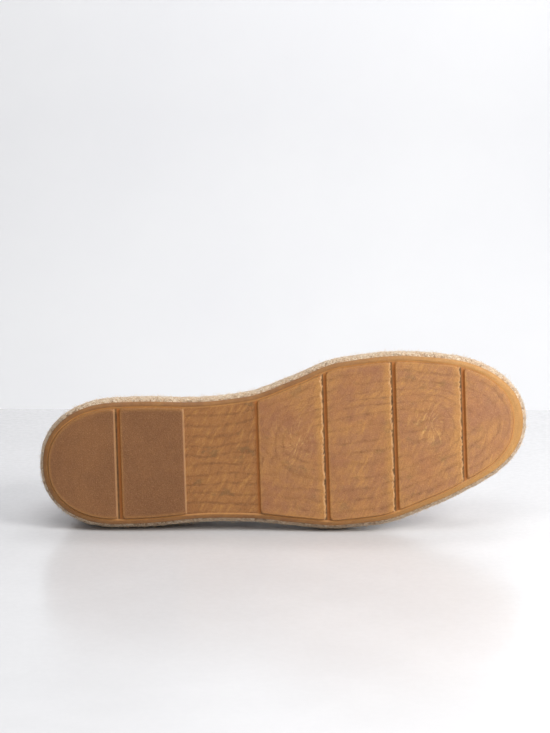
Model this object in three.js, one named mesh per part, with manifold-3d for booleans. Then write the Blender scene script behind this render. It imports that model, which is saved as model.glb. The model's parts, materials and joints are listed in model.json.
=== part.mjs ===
// A left slip-on espadrille: a suede upper with a heel counter, on a sole of plaited jute
// with a moulded gum rubber tread. The shoe is empty and lies on its outer side.
//
// Sizes are in millimetres. The pieces are worked out as the shoe stands on its sole: x
// runs from the heel to the toe, y to the outer side of the foot, and z up from the tread.
// The last part of the file turns the whole shoe onto its side.
import * as THREE from "three";
import { mergeVertices } from "three/addons/utils/BufferGeometryUtils.js";
import Module from "manifold-3d";

const wasm = await Module();
wasm.setup();

// Driving sizes of the sole.
const TREAD_START = 3;
const TREAD_LENGTH = 292.4;
const HEEL_ROUND = 46;
const TOE_ROUND = 98;
const END_FULLNESS = 2.2;
const TOE_SPRING = 11;
const SPRING_START = 212;

// The tread's middle line and half width along the foot, before its ends are rounded off.
// "inward" is how far the middle line swings to the inner side of the foot.
const TREAD_SECTIONS = [
  { at: 0, inward: 0.3, half: 36.7 },
  { at: 62, inward: 0.4, half: 36.9 },
  { at: 99, inward: 0.8, half: 35.2 },
  { at: 128, inward: 1.5, half: 36.8 },
  { at: 156, inward: 4.2, half: 43.0 },
  { at: 184, inward: 8.0, half: 49.1 },
  { at: 208, inward: 10.4, half: 49.5 },
  { at: 240, inward: 15.0, half: 47.2 },
  { at: 270, inward: 18.3, half: 46.5 },
  { at: 298, inward: 18.8, half: 46.5 },
];

// The rubber: a plate with raised pads, which cross grooves divide. The pad under the
// waist is left out.
const PLATE_THICKNESS = 3.4;
const PAD_HEIGHT = 1.6;
const PAD_ROOT = 0.8;
const PAD_DRAFT = 0.35;
const PAD_INSET = { outer: 3.2, inner: 3.5, toe: 6.2 };
const GROOVE_WIDTH = 2.6;
const GROOVE_FIRST = 49;
const GROOVE_PITCH = 41.8;
const GROOVES = 6;
const WAIST_AFTER_GROOVE = 1;

// How far each level of the rubber's side stands out from the tread's outline.
const PLATE_SIDE = [
  { height: 0, out: -1.3 },
  { height: 0.45, out: -0.35 },
  { height: 1.2, out: 0 },
  { height: 2.9, out: 0.1 },
  { height: PLATE_THICKNESS, out: -0.5 },
];

// The jute: its thickness along the foot, and its rounded side. "share" is the part of its
// thickness that lies below the level.
const FIT_GAP = 0.3;
const JUTE_THICKNESS = [
  { at: 0, thick: 18 },
  { at: 130, thick: 17.2 },
  { at: 220, thick: 15.6 },
  { at: 298, thick: 14.2 },
];
const JUTE_SIDE = [
  { share: 0, out: -0.9 },
  { share: 0.06, out: 0.7 },
  { share: 0.22, out: 2.2 },
  { share: 0.46, out: 2.9 },
  { share: 0.72, out: 2.5 },
  { share: 0.92, out: 1.1 },
  { share: 1, out: -0.7 },
];

// The insole lies on the jute, inside the upper.
const INSOLE_THICKNESS = 3;
const INSOLE_SIDE = [
  { height: 0, out: -6.2 },
  { height: 2.2, out: -6 },
  { height: INSOLE_THICKNESS, out: -6.8 },
];

// The upper. Its lower edge runs inside the tread's outline. Its ribs rise from that edge to
// the ridge, which climbs from the toe over the vamp and the instep to the top of the last.
const UPPER_INSET = 3.6;
const WALL = 2;
const RIDGE = [
  { at: 24, height: 120 },
  { at: 70, height: 122 },
  { at: 118, height: 108 },
  { at: 146, height: 91 },
  { at: 166, height: 79.5 },
  { at: 186, height: 71.5 },
  { at: 206, height: 66 },
  { at: 228, height: 61 },
  { at: 250, height: 57 },
  { at: 268, height: 52.5 },
  { at: 290, height: 44 },
];
const RIDGE_HEEL = 24;
const RIDGE_TOE = 268;
const RIDGE_SWING = 1.12;

// How the ribs stand along the foot. "belly" is how far the wall swells out of its lower
// edge, "rise" how long it stays upright and "crown" how far the top runs level, both as
// parts of the rib's height and breadth.
const RIBS = [
  { at: 0, belly: 3.0, rise: 0.5, crown: 0.52 },
  { at: 60, belly: 3.6, rise: 0.5, crown: 0.55 },
  { at: 120, belly: 4.4, rise: 0.45, crown: 0.55 },
  { at: 175, belly: 5.0, rise: 0.42, crown: 0.52 },
  { at: 230, belly: 5.2, rise: 0.5, crown: 0.56 },
  { at: 298, belly: 4.6, rise: 0.56, crown: 0.56 },
];

// The collar's edge as it is seen from the side.
const COLLAR = [
  { at: 0, height: 88 },
  { at: 20, height: 87 },
  { at: 55, height: 77 },
  { at: 92, height: 69.5 },
  { at: 126, height: 68 },
  { at: 150, height: 71.5 },
  { at: 164, height: 77 },
  { at: 175, height: 86 },
];

// The heel counter: a panel over the back of the upper. Its front edge slopes forward.
const COUNTER_THICKNESS = 1.2;
const COUNTER_FRONT = { low: 40, high: 88 };
const COUNTER_LOWEST_SHARE = 0.06;

// The mass of one cubic millimetre of each piece, in milligrams.
const DENSITY = { outsole: 0.98, jute_midsole: 0.34, insole: 0.45, upper: 0.8, heel_counter: 0.8 };

// How finely the curved pieces are divided. THROAT_TURN is the stretch behind the throat,
// as an angle along the outline, in which the collar's edge turns across the foot.
const SOLE_STATIONS = 52;
const UPPER_STATIONS = 38;
const UPPER_LEVELS = 9;
const THROAT_TURN = 0.16;
const THROAT_STATIONS = 6;
const COUNTER_STATIONS = 20;
const COUNTER_LEVELS = 6;

const FULL_TURN = 2 * Math.PI;
const HALF_TURN = Math.PI;
const SMALL_STEP = 0.01;
const MERGE_DISTANCE = 1e-4;

// A smooth curve through the rows of a table, which never overshoots them.
function curveThrough(rows, column) {
  const at = rows.map((row) => row.at);
  const value = rows.map((row) => row[column]);
  const last = rows.length - 1;
  const slope = at.slice(1).map((x, i) => (value[i + 1] - value[i]) / (x - at[i]));
  const tangent = at.map((x, i) => {
    if (i === 0 || i === last) return 0;
    const before = slope[i - 1];
    const after = slope[i];
    return before * after <= 0 ? 0 : (2 * before * after) / (before + after);
  });
  tangent[0] = slope[0];
  tangent[last] = slope[last - 1];
  return (x) => {
    if (x <= at[0]) return value[0];
    if (x >= at[last]) return value[last];
    const i = at.findIndex((edge) => edge > x) - 1;
    const span = at[i + 1] - at[i];
    const t = (x - at[i]) / span;
    const hermite = value[i] * (1 + 2 * t) * (1 - t) ** 2 + value[i + 1] * t * t * (3 - 2 * t);
    return hermite + span * (tangent[i] * t * (1 - t) ** 2 - tangent[i + 1] * t * t * (1 - t));
  };
}

const inwardAt = curveThrough(TREAD_SECTIONS, "inward");
const halfWidthAt = curveThrough(TREAD_SECTIONS, "half");
const juteThicknessAt = curveThrough(JUTE_THICKNESS, "thick");
const ridgeHeightAt = curveThrough(RIDGE, "height");
const bellyAt = curveThrough(RIBS, "belly");
const riseAt = curveThrough(RIBS, "rise");
const crownAt = curveThrough(RIBS, "crown");
const collarHeightAt = curveThrough(COLLAR, "height");

// The underside of the pads: flat under the heel and the ball, then curving up to the toe.
function padFaceAt(x) {
  const past = Math.max(0, x - SPRING_START) / (TREAD_START + TREAD_LENGTH - SPRING_START);
  return TOE_SPRING * past * past;
}

const plateFaceAt = (x) => padFaceAt(x) + PAD_HEIGHT;
const juteFaceAt = (x) => plateFaceAt(x) + PLATE_THICKNESS + FIT_GAP;
const footbedAt = (x) => juteFaceAt(x) + juteThicknessAt(x) + FIT_GAP;

// The tread's outline at an angle from 0 at the back of the heel, along the outer side, to
// half a turn at the tip of the toe, and back along the inner side. Both sides have the
// same x at opposite angles. The ends are quarter ellipses, made a little fuller.
function treadPoint(angle) {
  const x = TREAD_START + (TREAD_LENGTH / 2) * (1 - Math.cos(angle));
  const roundOff = (distance, length) => {
    const past = Math.max(0, 1 - distance / length);
    return Math.max(0, 1 - past ** END_FULLNESS) ** (1 / END_FULLNESS);
  };
  const heelShare = roundOff(x - TREAD_START, HEEL_ROUND);
  const toeShare = roundOff(TREAD_START + TREAD_LENGTH - x, TOE_ROUND);
  const side = Math.sin(angle) >= 0 ? 1 : -1;
  return new THREE.Vector2(x, side * halfWidthAt(x) * heelShare * toeShare - inwardAt(x));
}

// The direction that points out of the outline, level with the ground.
function outwardAt(angle) {
  const along = treadPoint(angle + SMALL_STEP).sub(treadPoint(angle - SMALL_STEP)).normalize();
  return new THREE.Vector2(-along.y, along.x);
}

// A point of the outline, moved out by a distance.
const outlinePoint = (angle, out) => treadPoint(angle).addScaledVector(outwardAt(angle), out);

// Angles from the heel to the toe that divide the outline into steps of equal length,
// measured as the mean of its two sides.
function evenAngles(steps) {
  const fine = 1440;
  const travelled = [0];
  for (let i = 1; i <= fine; i++) {
    const here = (HALF_TURN * i) / fine;
    const before = (HALF_TURN * (i - 1)) / fine;
    const outer = treadPoint(here).distanceTo(treadPoint(before));
    const inner = treadPoint(-here).distanceTo(treadPoint(-before));
    travelled.push(travelled[i - 1] + (outer + inner) / 2);
  }
  return Array.from({ length: steps + 1 }, (unused, k) => {
    const goal = (travelled[fine] * k) / steps;
    const i = Math.min(fine, Math.max(1, travelled.findIndex((t) => t >= goal)));
    const part = (goal - travelled[i - 1]) / (travelled[i] - travelled[i - 1]);
    return k === 0 ? 0 : (HALF_TURN * (i - 1 + part)) / fine;
  });
}

// Collects faces and turns them into a geometry with shared vertices.
class Surface {
  constructor() {
    this.points = [];
  }

  triangle(a, b, c) {
    const same = (p, q) => p.distanceToSquared(q) < MERGE_DISTANCE ** 2;
    if (!same(a, b) && !same(b, c) && !same(c, a)) this.points.push(a, b, c);
  }

  quad(a, b, c, d) {
    this.triangle(a, b, c);
    this.triangle(a, c, d);
  }

  // The quads between two lines of points. Seen from their front, the first line runs to
  // the right and the next one lies above it.
  strip(line, next) {
    for (let i = 0; i + 1 < line.length; i++) this.quad(line[i], line[i + 1], next[i + 1], next[i]);
  }

  geometry() {
    const made = new THREE.BufferGeometry().setFromPoints(this.points);
    return mergeVertices(made, MERGE_DISTANCE);
  }
}

function solidFrom(geometry) {
  return new wasm.Manifold(
    new wasm.Mesh({
      numProp: 3,
      vertProperties: geometry.attributes.position.array,
      triVerts: new Uint32Array(geometry.index.array),
    }),
  );
}

function geometryFrom(solid) {
  const { vertProperties, triVerts } = solid.getMesh();
  const made = new THREE.BufferGeometry();
  made.setAttribute("position", new THREE.BufferAttribute(vertProperties, 3));
  made.setIndex(new THREE.BufferAttribute(triVerts, 1));
  return made;
}

// A closed body through level rings of the outline, lowest first. Each level gives how far
// it stands out at an angle, and its height at a point. The lowest and highest rings are
// closed by strips across the foot, which follow the toe spring.
function soleBody(levels, angles) {
  const surface = new Surface();
  const ring = ({ out, height }) => {
    const turn = [...angles, ...angles.slice(1, -1).reverse().map((angle) => FULL_TURN - angle)];
    return turn.map((angle) => {
      const p = outlinePoint(angle, out(angle));
      return new THREE.Vector3(p.x, p.y, height(p.x));
    });
  };
  const rings = levels.map(ring);
  const closed = (points) => [...points, points[0]];
  rings.slice(1).forEach((upper, i) => surface.strip(closed(upper), closed(rings[i])));
  const last = angles.length - 1;
  const acrossFrom = (points, k) => points[(points.length - k) % points.length];
  const cap = (points, facesUp) => {
    for (let k = 0; k < last; k++) {
      const corners = [points[k], points[k + 1], acrossFrom(points, k + 1), acrossFrom(points, k)];
      if (facesUp) corners.reverse();
      surface.quad(...corners);
    }
  };
  cap(rings[0], false);
  cap(rings[rings.length - 1], true);
  return surface.geometry();
}

// How far the pads stop short of the tread's outline: a little on the outer side, more on
// the inner side and most at the toe.
function padInset(angle) {
  const outward = outwardAt(angle);
  const inner = Math.max(0, -outward.y) ** 2;
  const toe = Math.max(0, outward.x) ** 2 * (Math.cos(angle) < 0 ? 1 : 0);
  const { outer } = PAD_INSET;
  return outer + (PAD_INSET.inner - outer) * inner + (PAD_INSET.toe - outer) * toe;
}

function makeOutsole(angles) {
  const plate = soleBody(
    PLATE_SIDE.map(({ height, out }) => ({ out: () => out, height: (x) => plateFaceAt(x) + height })),
    angles,
  );
  const padLevels = [
    { out: (angle) => -padInset(angle) - PAD_DRAFT, height: padFaceAt },
    { out: (angle) => -padInset(angle), height: (x) => padFaceAt(x) + PAD_HEIGHT + PAD_ROOT },
  ];
  let pads = solidFrom(soleBody(padLevels, angles));
  // Each groove's cutter reaches past the pads on all sides. The one at the waist is so
  // long that it takes the whole pad there.
  for (let i = 0; i < GROOVES; i++) {
    const start = GROOVE_FIRST + i * GROOVE_PITCH - GROOVE_WIDTH / 2;
    const long = GROOVE_WIDTH + (i === WAIST_AFTER_GROOVE ? GROOVE_PITCH : 0);
    const cutter = new THREE.BoxGeometry(long, TREAD_LENGTH, TREAD_LENGTH);
    cutter.translate(start + long / 2, 0, 0);
    cutter.deleteAttribute("normal");
    cutter.deleteAttribute("uv");
    pads = pads.subtract(solidFrom(mergeVertices(cutter)));
  }
  return geometryFrom(solidFrom(plate).add(pads));
}

function makeJuteMidsole(angles) {
  const levels = JUTE_SIDE.map(({ share, out }) => ({
    out: () => out,
    height: (x) => juteFaceAt(x) + share * juteThicknessAt(x),
  }));
  return soleBody(levels, angles);
}

function makeInsole(angles) {
  const levels = INSOLE_SIDE.map(({ height, out }) => ({
    out: () => out,
    height: (x) => footbedAt(x) + height,
  }));
  return soleBody(levels, angles);
}

// The ridge's place above a station of the lower edge: it runs back from the toe faster
// than the edge does, so that the ribs lean back over the vamp.
function ridgePoint(station) {
  const share = (1 - Math.cos(station)) / 2;
  const x = RIDGE_HEEL + (RIDGE_TOE - RIDGE_HEEL) * share;
  return new THREE.Vector3(x, -RIDGE_SWING * inwardAt(x), ridgeHeightAt(x));
}

// The outer face of the upper. A station runs from 0 at the heel to half a turn at the toe.
// "across" runs from 1 at the lower edge on the outer side, over 0 on the ridge, to -1 at
// the lower edge on the inner side. Each side is a rib, a cubic curve that leaves the lower
// edge upright and reaches the ridge level with it.
function formPoint(station, across) {
  // Past the heel or the toe the surface goes on down the other side.
  if (station < 0) return formPoint(-station, -across);
  if (station > HALF_TURN) return formPoint(FULL_TURN - station, -across);
  const angle = across >= 0 ? station : FULL_TURN - station;
  const foot = outlinePoint(angle, -UPPER_INSET);
  const outward = outwardAt(angle);
  const low = new THREE.Vector3(foot.x, foot.y, footbedAt(foot.x));
  const top = ridgePoint(station);
  const climb = top.z - low.z;
  const swell = bellyAt(low.x);
  const upright = low.clone().add(
    new THREE.Vector3(outward.x * swell, outward.y * swell, riseAt(low.x) * climb),
  );
  const inward = new THREE.Vector2(top.x - low.x, top.y - low.y);
  const step = 1;
  const slope = (ridgeHeightAt(top.x + step) - ridgeHeightAt(top.x - step)) / (2 * step);
  const reach = crownAt(low.x);
  const level = top.clone().sub(
    new THREE.Vector3(inward.x, inward.y, inward.x * slope).multiplyScalar(reach),
  );
  return new THREE.CubicBezierCurve3(low, upright, level, top).getPoint(1 - Math.abs(across));
}

// The direction that points out of the upper's face.
function formNormal(station, across) {
  const along = formPoint(station + SMALL_STEP, across).sub(formPoint(station - SMALL_STEP, across));
  const over = formPoint(station, across + SMALL_STEP).sub(formPoint(station, across - SMALL_STEP));
  return along.cross(over).normalize();
}

// A point beside the upper's outer face, moved out by a distance. The lower edge stays on
// the jute.
function besideForm(station, across, out) {
  const p = formPoint(station, across).addScaledVector(formNormal(station, across), out);
  if (Math.abs(across) === 1) p.z = footbedAt(p.x);
  return p;
}

// The value of "across" at which a rib meets the collar's edge, or 0 where the rib stays
// below the edge as far as the ridge.
function collarShare(station, side) {
  const above = (share) => {
    const p = formPoint(station, side * share);
    return p.z - collarHeightAt(p.x);
  };
  if (above(0) <= 0) return 0;
  let low = 1;
  let high = 0;
  const halvings = 40;
  for (let i = 0; i < halvings; i++) {
    const middle = (low + high) / 2;
    if (above(middle) > 0) high = middle;
    else low = middle;
  }
  return (low + high) / 2;
}

// The station where the ridge dips under the collar's edge: the front of the opening.
function throatStation() {
  let open = HALF_TURN / 2;
  let closed = HALF_TURN;
  const halvings = 40;
  for (let i = 0; i < halvings; i++) {
    const middle = (open + closed) / 2;
    if (collarShare(middle, 1) > 0) open = middle;
    else closed = middle;
  }
  return closed;
}

// The stations of the upper: even steps along the foot, but closer and closer towards the
// throat from behind.
function upperStations() {
  const throat = throatStation();
  const even = evenAngles(UPPER_STATIONS);
  const turning = even.find((s) => s > throat - THROAT_TURN);
  const behind = even.filter((s) => s < turning);
  const across = Array.from({ length: THROAT_STATIONS }, (unused, k) => {
    const left = (THROAT_STATIONS - k) / THROAT_STATIONS;
    return throat - (throat - turning) * left ** 2;
  });
  const ahead = even.filter((s) => s > throat + (even[1] - even[0]) / 2);
  return { stations: [...behind, ...across, throat, ...ahead], throatIndex: behind.length + across.length };
}

// The upper is one wall. Its outer and inner faces are joined under the foot and round the
// collar, and its two sides meet on the ridge, at the heel and at the toe.
function makeUpper() {
  const { stations, throatIndex } = upperStations();
  const surface = new Surface();
  // The columns of one side's face, each from the lower edge up.
  const columns = (side, out) =>
    stations.map((station, i) => {
      const end = i < throatIndex ? collarShare(station, side) : 0;
      return Array.from({ length: UPPER_LEVELS + 1 }, (unused, level) => {
        const across = 1 + (end - 1) * (level / UPPER_LEVELS);
        return besideForm(station, side * across, out);
      });
    });
  for (const side of [1, -1]) {
    const outer = columns(side, 0);
    const inner = columns(side, -WALL);
    const edge = (face, level, from, to) => face.slice(from, to + 1).map((column) => column[level]);
    const facing = (line, next) => (side > 0 ? surface.strip(next, line) : surface.strip(line, next));
    for (let i = 0; i + 1 < stations.length; i++) {
      facing(outer[i + 1], outer[i]);
      facing(inner[i], inner[i + 1]);
    }
    const last = stations.length - 1;
    facing(edge(inner, 0, 0, last), edge(outer, 0, 0, last));
    facing(edge(outer, UPPER_LEVELS, 0, throatIndex), edge(inner, UPPER_LEVELS, 0, throatIndex));
  }
  return surface.geometry();
}

// The counter is a sheet that follows the upper's outer face round the heel. Its two ends
// slope forward from the sole to the collar.
function makeHeelCounter() {
  const surface = new Surface();
  const stationAtX = (x) => Math.acos(1 - (2 * (x - TREAD_START)) / TREAD_LENGTH);
  const front = (share) => stationAtX(COUNTER_FRONT.low + (COUNTER_FRONT.high - COUNTER_FRONT.low) * share);
  // Rows of points from the inner side, round the heel, to the outer side.
  const sheet = (out) =>
    Array.from({ length: COUNTER_LEVELS + 1 }, (unused, level) => {
      const share = COUNTER_LOWEST_SHARE + (1 - COUNTER_LOWEST_SHARE) * (level / COUNTER_LEVELS);
      return Array.from({ length: 2 * COUNTER_STATIONS + 1 }, (unused2, k) => {
        const turn = (k - COUNTER_STATIONS) / COUNTER_STATIONS;
        const side = turn < 0 ? -1 : 1;
        const station = Math.abs(turn) * front(share);
        const across = 1 + (collarShare(station, side) - 1) * share;
        return besideForm(station, side * across, out);
      });
    });
  const inside = sheet(FIT_GAP);
  const outside = sheet(FIT_GAP + COUNTER_THICKNESS);
  for (let level = 0; level < COUNTER_LEVELS; level++) {
    surface.strip(outside[level + 1], outside[level]);
    surface.strip(inside[level], inside[level + 1]);
  }
  const end = (rows, k) => rows.map((row) => row[k]);
  surface.strip(outside[0], inside[0]);
  surface.strip(inside[COUNTER_LEVELS], outside[COUNTER_LEVELS]);
  surface.strip(end(inside, 0), end(outside, 0));
  surface.strip(end(outside, 2 * COUNTER_STATIONS), end(inside, 2 * COUNTER_STATIONS));
  return surface.geometry();
}

function makePiece(name, geometry, colour, roughness) {
  const material = new THREE.MeshStandardMaterial({ color: colour, roughness, metalness: 0 });
  const piece = new THREE.Mesh(geometry, material);
  piece.name = name;
  return piece;
}

// The centre of mass of all pieces, from the tetrahedra between their faces and the origin.
function centreOfMass(pieces) {
  const sum = new THREE.Vector3();
  let mass = 0;
  for (const piece of pieces) {
    const position = piece.geometry.attributes.position;
    const index = piece.geometry.index.array;
    const corner = (i) => new THREE.Vector3().fromBufferAttribute(position, index[i]);
    for (let i = 0; i < index.length; i += 3) {
      const [a, b, c] = [corner(i), corner(i + 1), corner(i + 2)];
      const share = (DENSITY[piece.name] * a.dot(b.clone().cross(c))) / 6;
      sum.addScaledVector(a.add(b).add(c), share / 4);
      mass += share;
    }
  }
  return sum.divideScalar(mass);
}

// Lays the shoe on its outer side. It rests where its centre of mass is lowest above the
// ground, which is on the sole's edge at heel and ball and on the side of the upper.
function layOnOuterSide(group) {
  const centre = centreOfMass(group.children);
  const corners = group.children.flatMap((piece) => {
    const position = piece.geometry.attributes.position;
    const corner = (unused, i) => new THREE.Vector3().fromBufferAttribute(position, i);
    return Array.from({ length: position.count }, corner);
  });
  const heightOfCentre = ({ roll, pitch }) => {
    const turn = new THREE.Euler(roll, pitch, 0, "YXZ");
    const { elements } = new THREE.Matrix4().makeRotationFromEuler(turn);
    const height = (p) => elements[2] * p.x + elements[6] * p.y + elements[10] * p.z;
    return height(centre) - corners.reduce((lowest, p) => Math.min(lowest, height(p)), Infinity);
  };
  let pose = { roll: THREE.MathUtils.degToRad(-100), pitch: 0 };
  let lowest = heightOfCentre(pose);
  let step = THREE.MathUtils.degToRad(4);
  const finest = 1e-8;
  while (step > finest) {
    const tries = [-1, 0, 1].flatMap((r) =>
      [-1, 0, 1].map((p) => ({ roll: pose.roll + r * step, pitch: pose.pitch + p * step })),
    );
    const heights = tries.map(heightOfCentre);
    const best = heights.indexOf(Math.min(...heights));
    if (heights[best] < lowest) {
      lowest = heights[best];
      pose = tries[best];
    } else {
      step /= 2;
    }
  }
  group.rotation.set(pose.roll, pose.pitch, 0, "YXZ");
}

// Moves the group so that its box stands on z = 0, centred on the origin.
function centreOnGround(group) {
  group.updateMatrixWorld(true);
  const box = new THREE.Box3().setFromObject(group, true);
  const middle = box.getCenter(new THREE.Vector3());
  group.position.set(-middle.x, -middle.y, -box.min.z);
}

const soleAngles = evenAngles(SOLE_STATIONS);
const espadrille = new THREE.Group();
espadrille.add(
  makePiece("outsole", makeOutsole(soleAngles), "#b98450", 0.55),
  makePiece("jute_midsole", makeJuteMidsole(soleAngles), "#c9ae8c", 0.95),
  makePiece("insole", makeInsole(soleAngles), "#c7a27c", 0.8),
  makePiece("upper", makeUpper(), "#b48c76", 0.95),
  makePiece("heel_counter", makeHeelCounter(), "#ab806a", 0.95),
);
layOnOuterSide(espadrille);
centreOnGround(espadrille);

export default espadrille;
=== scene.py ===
"""A worn left espadrille that lies on its outer side, with its sole to the camera.

Every piece is worked out as the shoe stands on its sole, in metres: x runs from the heel to
the toe, y to the outer side of the foot and z up from the tread. lay() then takes it to
where the shoe lies.
"""
import json

import bmesh
import bpy
import numpy as np
from bpy.props import (
    FloatProperty,
    FloatVectorProperty,
    IntProperty,
    PointerProperty,
)
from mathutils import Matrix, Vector


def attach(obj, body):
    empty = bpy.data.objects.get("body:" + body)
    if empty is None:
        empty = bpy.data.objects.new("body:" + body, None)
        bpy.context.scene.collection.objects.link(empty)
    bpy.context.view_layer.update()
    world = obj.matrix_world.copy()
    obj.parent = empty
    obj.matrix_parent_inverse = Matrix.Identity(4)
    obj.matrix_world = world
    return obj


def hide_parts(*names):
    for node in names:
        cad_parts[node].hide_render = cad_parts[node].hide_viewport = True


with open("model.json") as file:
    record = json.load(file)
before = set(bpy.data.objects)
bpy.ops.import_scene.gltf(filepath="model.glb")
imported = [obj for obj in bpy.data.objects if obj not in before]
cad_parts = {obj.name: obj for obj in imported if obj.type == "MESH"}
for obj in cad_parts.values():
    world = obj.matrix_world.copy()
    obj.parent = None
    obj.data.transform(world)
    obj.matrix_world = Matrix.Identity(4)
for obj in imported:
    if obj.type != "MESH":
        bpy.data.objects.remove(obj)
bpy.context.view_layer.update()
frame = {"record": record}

bl_info = {
    "name": "Espadrille",
    "version": (1, 0, 0),
    "blender": (4, 5, 0),
    "location": "3D View > Sidebar > Espadrille",
    "description": "Builds a jute and gum rubber espadrille and the table that it lies on",
    "category": "Add Mesh",
}

MM = 0.001
BODY = "root"

# The tread: where its middle line runs and how wide it is, before its ends are rounded off.
TREAD_START = 3 * MM
TREAD_LENGTH = 292.4 * MM
TREAD_END = TREAD_START + TREAD_LENGTH
HEEL_ROUND = 46 * MM
TOE_ROUND = 98 * MM
END_FULLNESS = 2.2
TREAD = {
    "at": [0, 62, 99, 128, 156, 184, 208, 240, 270, 298],
    "inward": [0.3, 0.4, 0.8, 1.5, 4.2, 8.0, 10.4, 15.0, 18.3, 18.8],
    "half": [36.7, 36.9, 35.2, 36.8, 43.0, 49.1, 49.5, 47.2, 46.5, 46.5],
}
TOE_SPRING = 11 * MM
SPRING_START = 212 * MM

# The rubber: a plate with raised pads, and no pad under the waist.
PLATE_THICKNESS = 3.4 * MM
PAD_HEIGHT = 1.6 * MM
PAD_INSET = {"outer": 3.2 * MM, "inner": 3.5 * MM, "toe": 6.2 * MM}
GROOVE_FIRST = 49 * MM
GROOVE_PITCH = 41.8 * MM
GROOVES = GROOVE_FIRST + GROOVE_PITCH * np.arange(6)

# Where there is no pad: the grooves, and the whole waist between the second and the third.
GROOVE_HALF = 1.3 * MM
GAP_STARTS = np.delete(GROOVES, 2) - GROOVE_HALF
GAP_ENDS = np.delete(GROOVES, 1) + GROOVE_HALF
PAD_CORNER = 2.2 * MM

# Rows close to the walls of the grooves, and columns close to the sides of the pads.
WALL_ROWS = np.array([-1.5, -0.9, -0.5, -0.25, -0.05, 0.15, 0.35, 0.6, 1.0, 1.5, 2.1]) * MM
PAD_COLUMNS = np.array([0, 0.12, 0.24, 0.36, 0.48, 0.62, 0.85, 1.3]) * MM
PLATE_SIDE = {
    "height": [0, 0.12, 0.45, 0.8, 1.2, 2.1, 2.9, 3.2, 3.4],
    "out": [-1.3, -0.8, -0.35, -0.12, 0, 0.08, 0.1, -0.1, -0.5],
}
RIM_BEAD = 0.3 * MM

# The coiled jute that shows through the rubber: how wide a row is, and the middle line of
# the short coil under the ball.
COIL_PITCH = 6.0 * MM
CORE = np.array([[157, -10], [238, -18]]) * MM
CORE_REACH = 26 * MM
CORE_FAN = 15 * MM
SWIRL_REACH = 10 * MM

# The jute: its thickness along the foot, and its rounded side.
FIT_GAP = 0.3 * MM
JUTE = {"at": [0, 130, 220, 298], "thick": [18, 17.2, 15.6, 14.2]}
JUTE_SIDE = {
    "at": [0, 0.06, 0.22, 0.46, 0.72, 0.92, 1],
    "out": [-0.9, 0.7, 2.2, 2.9, 2.5, 1.1, -0.7],
}

# The plait's yarns, how far they and the tufts stand out, and the room that loose fibres
# leave above the floor.
YARN_PITCH = 2.3 * MM
YARN_SLANT = 2.4
YARN_RELIEF = 0.42 * MM
TUFT_RELIEF = 0.5 * MM
HAIR_CLEARANCE = 0.1 * MM
HAIR_POINTS = 5
HAIR_SIDES = 3

# The last: the ridge over the foot, the way the sides rise to it, and the collar's edge.
UPPER_INSET = 3.6 * MM
RIDGE = {
    "at": [24, 70, 118, 146, 166, 186, 206, 228, 250, 268, 290],
    "height": [120, 122, 108, 91, 79.5, 71.5, 66, 61, 57, 52.5, 44],
}
RIDGE_HEEL = 24 * MM
RIDGE_TOE = 268 * MM
RIDGE_SWING = 1.12
RIBS = {
    "at": [0, 60, 120, 175, 230, 298],
    "belly": [3.0, 3.6, 4.4, 5.0, 5.2, 4.6],
    "rise": [0.5, 0.5, 0.45, 0.42, 0.5, 0.56],
    "crown": [0.52, 0.55, 0.55, 0.52, 0.56, 0.56],
}
COLLAR = {
    "at": [0, 20, 55, 92, 126, 150, 164, 175],
    "height": [88, 87, 77, 69.5, 68, 71.5, 77, 86],
}
COUNTER_FRONT = {"low": 40 * MM, "high": 88 * MM}
COUNTER_LOWEST = 0.06
COUNTER_THICKNESS = 1.2 * MM
COUNTER_LENGTH = 95 * MM
COUNTER_HEIGHT = 56 * MM
WALL = 2 * MM
COLLAR_LIP = 7

# The creases over the ball: where each crosses, how far it bows, how deep it is, and how far
# its middle is shifted.
VAMP_CREASES = (
    (193 * MM, 9 * MM, 1.0 * MM, 3 * MM),
    (206 * MM, 7 * MM, 1.25 * MM, -2 * MM),
    (220 * MM, 5 * MM, 0.7 * MM, 5 * MM),
)

# The sewing: where the blanket stitch starts, how far its bars lean, and the thread rows.
STITCH_START = 38 * MM
STITCH_LEAN = 1.6 * MM
CORD_SIDES = 8
THREAD_SIDES = 6
THREAD_SHOWN = 0.78
THREAD_LIFT = {"counter": 0.22 * MM, "collar": 0.25 * MM, "heel": 0.22 * MM}
THREAD_ROW = {"counter": 78 * MM, "collar": 92 * MM, "heel": 190 * MM}
COUNTER_ROW_GAPS = (2.4 * MM, 5.0 * MM)

# The studio, in metres and watts. A lamp has its place, its aim, its size, power and tint.
SHEET_HALF_WIDTH = 4
TABLE_END = 0.36
TABLE_EDGE = 0.01
WALL_START = 1.3
WALL_BEND = 0.5
SHEET_DROP = 0.3
WALL_TOP = 3.5
WORLD_TINT = (0.95, 0.97, 1.0, 1.0)
WORLD_STRENGTH = 0.26
LAMPS = {
    "Key": ((0.7, -0.53, 0.56), (0.04, 0, 0.03), (0.45, 0.45), 9.2, (1.0, 0.99, 0.97)),
    "Top": ((-0.15, -0.6, 1.1), (0, -0.1, 0), (1.0, 0.8), 6.0, (1.0, 1.0, 1.0)),
    "Backdrop lamp": ((0.5, 0.7, 1.5), (0.3, 1.8, 0.3), (1.6, 0.8), 21.5, (1.0, 1.0, 1.0)),
}

# Two points of the tread whose places the record gives as mounts, and its normal there.
HEEL_MOUNT = np.array([25, -0.3, 0]) * MM
BALL_MOUNT = np.array([195, -9.5, 0]) * MM

TINY = 0.01


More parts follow.
